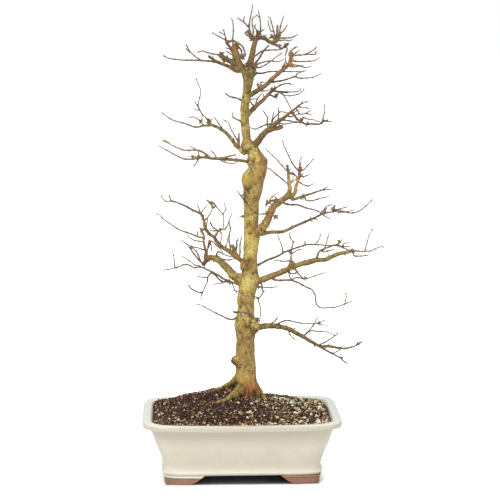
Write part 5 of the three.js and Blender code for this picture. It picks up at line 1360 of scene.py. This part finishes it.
# Knuckles: crowded places full of short cut stubs and buds, by place and reach on the front view
KNUCKLES = [
    (232.9, 47, 6), (220.8, 55, 3.6), (226, 59, 4), (240, 58, 4.4), (235, 62.5, 4.2), (244, 66, 4.2),
    (237.5, 67, 4.8), (247.5, 63.5, 4.8), (255.5, 66, 3.6), (255.5, 74, 2.8), (258, 34.4, 4),
    (249.5, 32, 2.6), (254, 38, 3.4), (271, 37.5, 2.6), (278.6, 36, 3.6), (286, 45, 2.6), (279.5, 45.5, 2),
    (291, 53, 2.6), (291.5, 58.5, 3), (291.5, 65, 2.8), (285, 67, 2.4), (257.5, 85.5, 2.6), (260, 90, 2.8),
    (251.5, 95, 2.4), (274, 89.5, 3.2), (277, 95.5, 2.2), (280, 126.5, 2.8), (255.6, 140, 2.6),
    (259.5, 143, 2.6), (300.8, 121, 2.4), (307.5, 122.5, 2.4), (323, 121, 1.6), (238.8, 140, 2.4),
    (238, 146, 3.4), (209, 122.4, 2.8), (200.5, 121.7, 1.8), (197.5, 157, 2.6), (193, 156.5, 1.8),
    (268, 202, 3.2), (277, 200, 2.8), (300, 170, 2.8), (300.8, 176, 2.6), (291.6, 174.5, 2),
    (288.5, 188, 2.4), (303, 196, 2.4), (293, 197.5, 2.4), (266.4, 213, 2.4), (274.6, 218.6, 2.4),
    (276, 216.6, 2), (272.5, 221.5, 2), (333.5, 209, 3), (339.5, 211, 2.6), (323, 213, 2), (201.5, 230.5, 3),
    (204, 218.5, 1.6), (233.4, 248, 3.6), (219.7, 230.6, 2.2), (191.5, 247.5, 2.2), (211, 256, 4),
    (203.6, 260.5, 2.8), (215, 258.5, 3.6), (235.7, 269.6, 2.8), (231, 278.8, 2.8), (291.6, 263.5, 3),
    (304.7, 278, 1.8), (352, 251.2, 2.6), (331.5, 257.4, 2.2), (340, 243.6, 2), (291, 329.3, 2.2),
    (275.5, 324.7, 1.8), (319, 322.4, 1.4), (341.4, 357.7, 1.4), (359.8, 343, 1.8), (340, 348.5, 1.4),
    (258.7, 286.5, 2)]
# Where buds are opening, green and slender, and where they are only fat and brown
OPENING = [
    (163, 139.5), (161, 137), (169.5, 195), (162, 197), (158, 214.5), (155, 217), (210, 200.5), (213.5, 204),
    (209, 222.5), (225, 205), (229.5, 225.5), (188, 234), (190, 238), (190, 285.5), (277, 318), (305, 241.5),
    (319, 238), (371, 231), (380, 247), (346, 296), (350, 303), (335, 334), (301, 92), (349, 211),
    (358, 243), (223.5, 228)]
FAT = [
    (186.7, 49), (200.5, 50.5), (315, 47.5), (316, 52.8), (165, 114), (199, 80), (201, 92), (216, 31),
    (224, 31)]
OPENING_REACH = 3.5
FAT_REACH = 4
# Stains of the limbs by place: centre on the front view, reach in mm, colour and strength
LIMB_STAINS = [
    ((233.4, 48.6), 13, (198, 124, 54), 0.8), ((290.8, 52), 12, (222, 164, 84), 0.8),
    ((291, 62), 13, (222, 156, 80), 0.8), ((278, 29), 11, (206, 156, 92), 0.7),
    ((270, 42), 16, (150, 130, 62), 0.6), ((257.5, 35.5), 9, (116, 50, 22), 0.85),
    ((252, 58), 26, (156, 118, 80), 0.7), ((265, 86), 18, (182, 134, 96), 0.7),
    ((277, 75), 18, (182, 134, 96), 0.7), ((224, 58), 16, (96, 72, 26), 0.85),
    ((214, 60.5), 16, (108, 96, 46), 0.8), ((235, 61), 16, (128, 104, 54), 0.8),
    ((246, 66), 12, (84, 60, 22), 0.85), ((260, 99), 30, (196, 148, 104), 0.8),
    ((272, 91), 9, (120, 62, 28), 0.7), ((292, 111), 24, (166, 136, 74), 0.5),
    ((211, 257), 12, (150, 92, 48), 0.8), ((224, 265), 20, (134, 102, 50), 0.7),
    ((204, 236), 20, (178, 124, 78), 0.7), ((191.5, 248), 12, (206, 134, 84), 0.8),
    ((236, 257), 18, (176, 124, 66), 0.6), ((205, 222), 16, (188, 138, 90), 0.6),
    ((211, 203), 12, (120, 108, 48), 0.9), ((274, 205), 22, (190, 146, 90), 0.6),
    ((271, 216), 12, (186, 112, 62), 0.7), ((268, 278), 26, (150, 108, 66), 0.6),
    ((300, 262), 30, (150, 122, 60), 0.5), ((296.5, 184), 22, (204, 156, 100), 0.8),
    ((289, 184), 16, (200, 166, 112), 0.8), ((288.3, 168), 12, (96, 70, 62), 0.85),
    ((300.5, 168), 13, (186, 108, 74), 0.7), ((282, 127.5), 14, (170, 130, 80), 0.8),
    ((268, 226), 16, (190, 150, 84), 0.7), ((258, 331), 6, (76, 40, 26), 0.85),
    ((264, 330.5), 6, (84, 50, 30), 0.8), ((271, 330), 6, (84, 50, 30), 0.8),
    ((260, 325), 9, (150, 112, 62), 0.7), ((208, 56), 7, (52, 38, 26), 0.9),
    ((250, 151), 26, (150, 122, 58), 0.5)]


def nearest(u, v, lines):
    """The nearest place to (u, v) on lines of (u, v, depth), with the place's depth."""
    best = None
    for line in lines:
        for (u0, v0, d0), (u1, v1, d1) in zip(line, line[1:]):
            t = ((u - u0) * (u1 - u0) + (v - v0) * (v1 - v0)) / max(1e-9, (u1 - u0) ** 2 + (v1 - v0) ** 2)
            t = min(1, max(0, t))
            at = (u0 + t * (u1 - u0), v0 + t * (v1 - v0), d0 + t * (d1 - d0))
            away = math.hypot(at[0] - u, at[1] - v)
            if best is None or away < best[0]:
                best = (away, at)
    return best[1]


def grown_routes(routes):
    """Every route of a limb as its points (u, v, depth)."""
    grown = []
    for route in routes:
        drawn = drawn_points(route)
        u0, v0 = drawn[0]
        first = nearest(u0, v0, grown) if grown else (u0, v0, trunk_middle(v0)[2])
        apart = math.hypot(u0 - first[0], v0 - first[1]) > 1
        rest = drawn if apart else drawn[1:]
        grown.append([first] + [(u, v, first[2] + route[2] * ((index + 1) / len(rest)) ** REACH_CURVE)
                                for index, (u, v) in enumerate(rest)])
    return grown


GROWN = {name: grown_routes(routes) for name, routes in LIMBS.items()}


def nearest_limb(u, v):
    """The name of the limb that passes closest to a point of the front view."""
    def away(name):
        at = nearest(u, v, GROWN[name])
        return math.hypot(at[0] - u, at[1] - v)
    return min(GROWN, key=away)


# One bud: a pointed scaly drop with six sides, modelled once and copied
deselect()
bpy.ops.mesh.primitive_circle_add(vertices=6, radius=0.55, location=(0, 0, 0))
bud = bpy.context.object
edit_all()
bpy.ops.mesh.edge_face_add()
for rise, scale in ((0.7, 1.55), (0.9, 0.85), (0.9, 0.35)):
    bpy.ops.mesh.extrude_region_move(TRANSFORM_OT_translate={"value": (0, 0, rise)})
    bpy.ops.transform.resize(value=(scale, scale, 1))
close_up()
bud_model = taken_apart(bud)

limb_skin, tree, shader = bare_material("limb_bark")
where = put(tree, "TexCoord").outputs["Object"]
bud, cut, dusk, under = (read_value(tree, name) for name in ("bud", "cut", "dusk", "under"))
made = put(tree, "Group", node_tree=bark)
wire(tree, made, {"Place": where, "Girth": read_value(tree, "girth"), "Tone": read_value(tree, "tone"),
                  "Scar": 0})
colour = made.outputs["Colour"]
all_lines = [line for lines in GROWN.values() for line in lines]
for (u, v), reach, tint, strength in LIMB_STAINS:
    centre = in_space(u, v, nearest(u, v, all_lines)[2])
    share = stain_share(tree, where, centre, reach, 0.4 * reach, strength, 0)
    colour = blend(tree, share, colour, blend(tree, 0.7, colour, paint(*tint)))
darker = blend(tree, 1, colour, paint(150, 132, 118), "MULTIPLY")
colour = blend(tree, maths(tree, "MULTIPLY", dusk, 0.5), colour, darker)
scales = fade(tree, grain(tree, where, 1400, detail=3), 0.4, 0.6)
brown = blend(tree, scales, paint(98, 74, 58), paint(150, 122, 88))
green = blend(tree, scales, paint(140, 148, 82), paint(178, 182, 116))
bud_colour = blend(tree, fade(tree, bud, 1.2, 1.8), brown, green)
colour = blend(tree, fade(tree, bud, 0.4, 0.6), colour, bud_colour)
cut_wood = blend(tree, grain(tree, where, 500, detail=4), paint(112, 80, 52), paint(176, 136, 92))
colour = blend(tree, fade(tree, cut, 0.45, 0.75), colour, cut_wood)
# Painted shade: undersides, turned away from the light above, are darkened
colour = blend(tree, maths(tree, "MULTIPLY", under, 0.65), colour, paint(66, 42, 30))
wire(tree, shader, {"Base Color": colour, "Roughness": 0.7})
relief(tree, shader, made.outputs["Height"], 0.0006)


def dusk_of(name):
    """How dark the bark of a whole limb is: the crown and the upper limbs on the right are darker than the
    rest.
    """
    return 1 if name in DARK_LIMBS else 0.25


def wobble(place, reach):
    """Twigs never run quite straight."""
    return Vector((noise.noise(place * 60), noise.noise(place * 60 + Vector((5, 5, 5))),
                   noise.noise(place * 60 + Vector((9, 1, 3))))) * reach


def close_to(spots, u, v, reach):
    """Whether a point of the front view is within reach of one of these spots."""
    return any(math.hypot(u - spot[0], v - spot[1]) < reach for spot in spots)


def any_way(chance):
    """A direction picked at random."""
    return Vector((chance.gauss(0, 1), chance.gauss(0, 1), chance.gauss(0, 1))).normalized()


def dress(piece, marks, name):
    """Gives a limb's mesh its bark relief and cut ends, and girth and tone from marks along its branches."""
    places = kdtree.KDTree(len(marks))
    for index, (place, _, _) in enumerate(marks):
        places.insert(place, index)
    places.balance()
    girths, tones = [], []
    for vertex in piece.data.vertices:
        around = places.find_n(vertex.co, 6)
        index = min(around, key=lambda found: found[2] - marks[found[1]][1] * FULL_GIRTH * MM)[1]
        girths.append(marks[index][1])
        tones.append(marks[index][2])
    cuts = [0] * len(girths)
    for route, line in zip(LIMBS[name], GROWN[name]):
        others = [other for other in GROWN[name] if other is not line]
        u, v = line[-1][:2]
        goes_on = others and math.dist(nearest(u, v, others)[:2], (u, v)) < 2
        if route[1] >= LIVE_TIP and not goes_on:
            end = in_space(*line[-1])
            way = (end - in_space(*line[-2])).normalized()
            for vertex in piece.data.vertices:
                offset = vertex.co - end
                if offset.length < 2 * route[1] * MM and offset.dot(way) > -0.3 * route[1] * MM:
                    cuts[vertex.index] = 1
    normals = [vertex.normal.copy() for vertex in piece.data.vertices]
    for vertex, normal, girth in zip(piece.data.vertices, normals, girths):
        vertex.co += normal * (bark_relief(vertex.co * 1.7, min(1, girth * 1.4)) * 0.4 * MM)
    # Among the values, how far each point faces down, for the painted shade on undersides
    for value, values in (("girth", girths), ("tone", tones), ("cut", cuts), ("bud", [0] * len(girths)),
                          ("dusk", [dusk_of(name)] * len(girths)),
                          ("under", [max(0, -normal.z) for normal in normals])):
        give_values(piece, value, values)


def flare_of(name, route):
    """How much wider a branch is where it leaves the wood."""
    crown = name.startswith("crown")
    if route is LIMBS[name][0]:
        return -0.25 if crown else 0.25
    return 0.05 if crown and route[0] >= THICK else 0.55


def branch_line(name, route, smooth, length, phase, spacing):
    """A branch as (place, radius) in metres: wobbling, swollen at its nodes and flared at its root."""
    width = 1 if route[0] >= THICK else DARK_TWIG_WIDTH if name in DARK_LIMBS else TWIG_WIDTH
    line = []
    for place, share in smooth:
        along, radius = share * length, radius_at(route, share)
        flare = 1 + flare_of(name, route) * math.exp(-along / (2.2 * route[0] * MM))
        from_node = ((along - phase + spacing / 2) % spacing) - spacing / 2
        swell = 1 + (0.32 if radius < 2 else 0.16) * math.exp(-(from_node / 0.0011) ** 2)
        uneven = 1 + 0.12 * noise.noise(place * 130)
        shaky = min(0.0009, along * 0.1) if radius < THICK else 0.0006
        line.append((place + wobble(place, shaky), radius * width * flare * swell * uneven * MM))
    if route[1] < LIVE_TIP:
        line[-1] = (line[-1][0], line[-1][1] * 0.55)
    return line


# What grows on a branch is kept as three lists: tubes, their marks, and buds as (place, way, size, kind)
def tip_growth(route, end, tip, way, chance):
    """The buds that close a live tip: three where they open or are fat, and one elsewhere."""
    buds = []
    if route[1] >= LIVE_TIP:
        return [], [], buds
    if close_to(OPENING, *end, OPENING_REACH):
        for _ in range(3):
            lean = (way + any_way(chance) * 0.6).normalized()
            buds.append((tip, lean, (1.35, 1.1, chance.uniform(2.2, 3.2)), OPEN))
    elif close_to(FAT, *end, FAT_REACH):
        for _ in range(3):
            buds.append((tip, (way + any_way(chance) * 0.4).normalized(), (1.5, 1.5, 1.6), CLOSED))
    else:
        buds.append((tip, way, (chance.uniform(0.8, 1.25),) * 3, CLOSED))
    return [], [], buds


def side_growth(route, line, length, phase, spacing, chance):
    """Opposite pairs of buds along young wood, and short spurs on old wood."""
    spurs, marks, buds = [], [], []
    along, turn = phase, chance.uniform(0, 3.14)
    while along < length - 0.003:
        share = along / length
        radius = radius_at(route, share)
        index = min(len(line) - 2, int(share * (len(line) - 1)))
        here = line[index][0]
        ahead = (line[index + 1][0] - here).normalized()
        side = ahead.orthogonal().normalized()
        side.rotate(Matrix.Rotation(turn, 3, ahead))
        for sign in (-1, 1):
            out = (side * sign + ahead * 0.9).normalized()
            if radius < SPUR_WOOD and along > 0.006 and chance.random() < 0.8:
                size = chance.uniform(0.6, 1.0)
                buds.append((here + side * sign * radius * MM * 0.75, out, (size,) * 3, CLOSED))
            elif radius >= SPUR_WOOD and chance.random() < 0.3:
                reach = radius * MM + chance.uniform(0.0015, 0.005)
                spurs.append([(here, 0.0013), (here + out * reach * 0.6, 0.0011),
                              (here + out * reach, 0.0009)])
                marks.append((here + out * reach * 0.7, 0.22, chance.random()))
                buds.append((here + out * reach * 0.95, out, (chance.uniform(0.9, 1.4),) * 3, CLOSED))
        turn += 1.57
        along += spacing
    return spurs, marks, buds


def knuckle_growth(middle, reach, chance):
    """Short cut stubs that stand out every way from one place, each with a bud."""
    stubs, marks, buds = [], [], []
    tone = chance.uniform(0.3, 0.85)
    for _ in range(int(5 + reach / 0.0008)):
        way = any_way(chance)
        far = reach * chance.uniform(0.35, 1.1)
        start = chance.uniform(0.0013, 0.0021) * (0.7 + reach / 0.012)
        stubs.append([(middle, start), (middle + way * far * 0.55, start * 0.95),
                      (middle + way * far, start * 0.72)])
        marks.append((middle + way * far, 0.3, tone))
        lean = (way + any_way(chance) * 0.7).normalized()
        buds.append((middle + way * far * 0.95, lean, (chance.uniform(0.9, 1.6),) * 3, CLOSED))
    return stubs, marks, buds


def make_limb(name):
    """The whole limb: its thick branches melted together, its twigs as tubes and its buds."""
    chance = random.Random(name)
    tubes, marks, buds = {True: [], False: []}, {True: [], False: []}, []

    def keep(is_thick, grown):
        tubes[is_thick].extend(grown[0])
        marks[is_thick].extend(grown[1])
        buds.extend(grown[2])

    for route, way_points in zip(LIMBS[name], GROWN[name]):
        points = [in_space(*point) for point in way_points]
        length = sum((b - a).length for a, b in zip(points, points[1:]))
        tone = chance.random()
        spacing = chance.uniform(0.009, 0.015)
        phase = chance.uniform(0, spacing)
        smooth = eased(points, 0.0024)
        line = branch_line(name, route, smooth, length, phase, spacing)
        keep(route[0] >= THICK, ([line], [(place, radius_at(route, share) / FULL_GIRTH, tone)
                                          for (place, _), (_, share) in zip(line, smooth)], []))
        way = (points[-1] - points[-2]).normalized()
        keep(False, tip_growth(route, way_points[-1][:2], line[-1][0] - way * 0.0006, way, chance))
        keep(False, side_growth(route, line, length, phase, spacing, chance))
    for u, v, reach in KNUCKLES:
        if nearest_limb(u, v) == name:
            middle = in_space(*nearest(u, v, GROWN[name]))
            keep(bool(tubes[True]), knuckle_growth(middle, reach * UNIT * MM, chance))

    parts = []
    if tubes[True]:
        parts.append(draw_tubes(name, tubes[True], 14))
        melted(parts[-1], LIMB_VOXEL, 2)
        dress(parts[-1], marks[True], name)
    if tubes[False]:
        parts.append(draw_tubes(name + "_twigs", tubes[False], 8))
        dress(parts[-1], marks[False], name)
    if buds:
        spray = copied(name + "_buds", bud_model, [
            (place, way.to_track_quat("Z", "Y").to_matrix() @ Matrix.Diagonal(size), 1)
            for place, way, size, _ in buds])
        give_values(spray, "bud", [kind for *_, kind in buds for _ in bud_model[0]])
        for value, number in (("girth", 0.1), ("tone", 0.5), ("cut", 0), ("dusk", dusk_of(name)),
                              ("under", 0)):
            give_values(spray, value, [number] * len(spray.data.vertices))
        parts.append(spray)
    piece = join_pieces(parts, name + "_bark")
    bpy.ops.object.shade_smooth()
    piece.data.materials.clear()
    piece.data.materials.append(limb_skin)
    return piece


for name in LIMBS:
    limb = make_limb(name)
    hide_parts(name)
    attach(limb, "root")
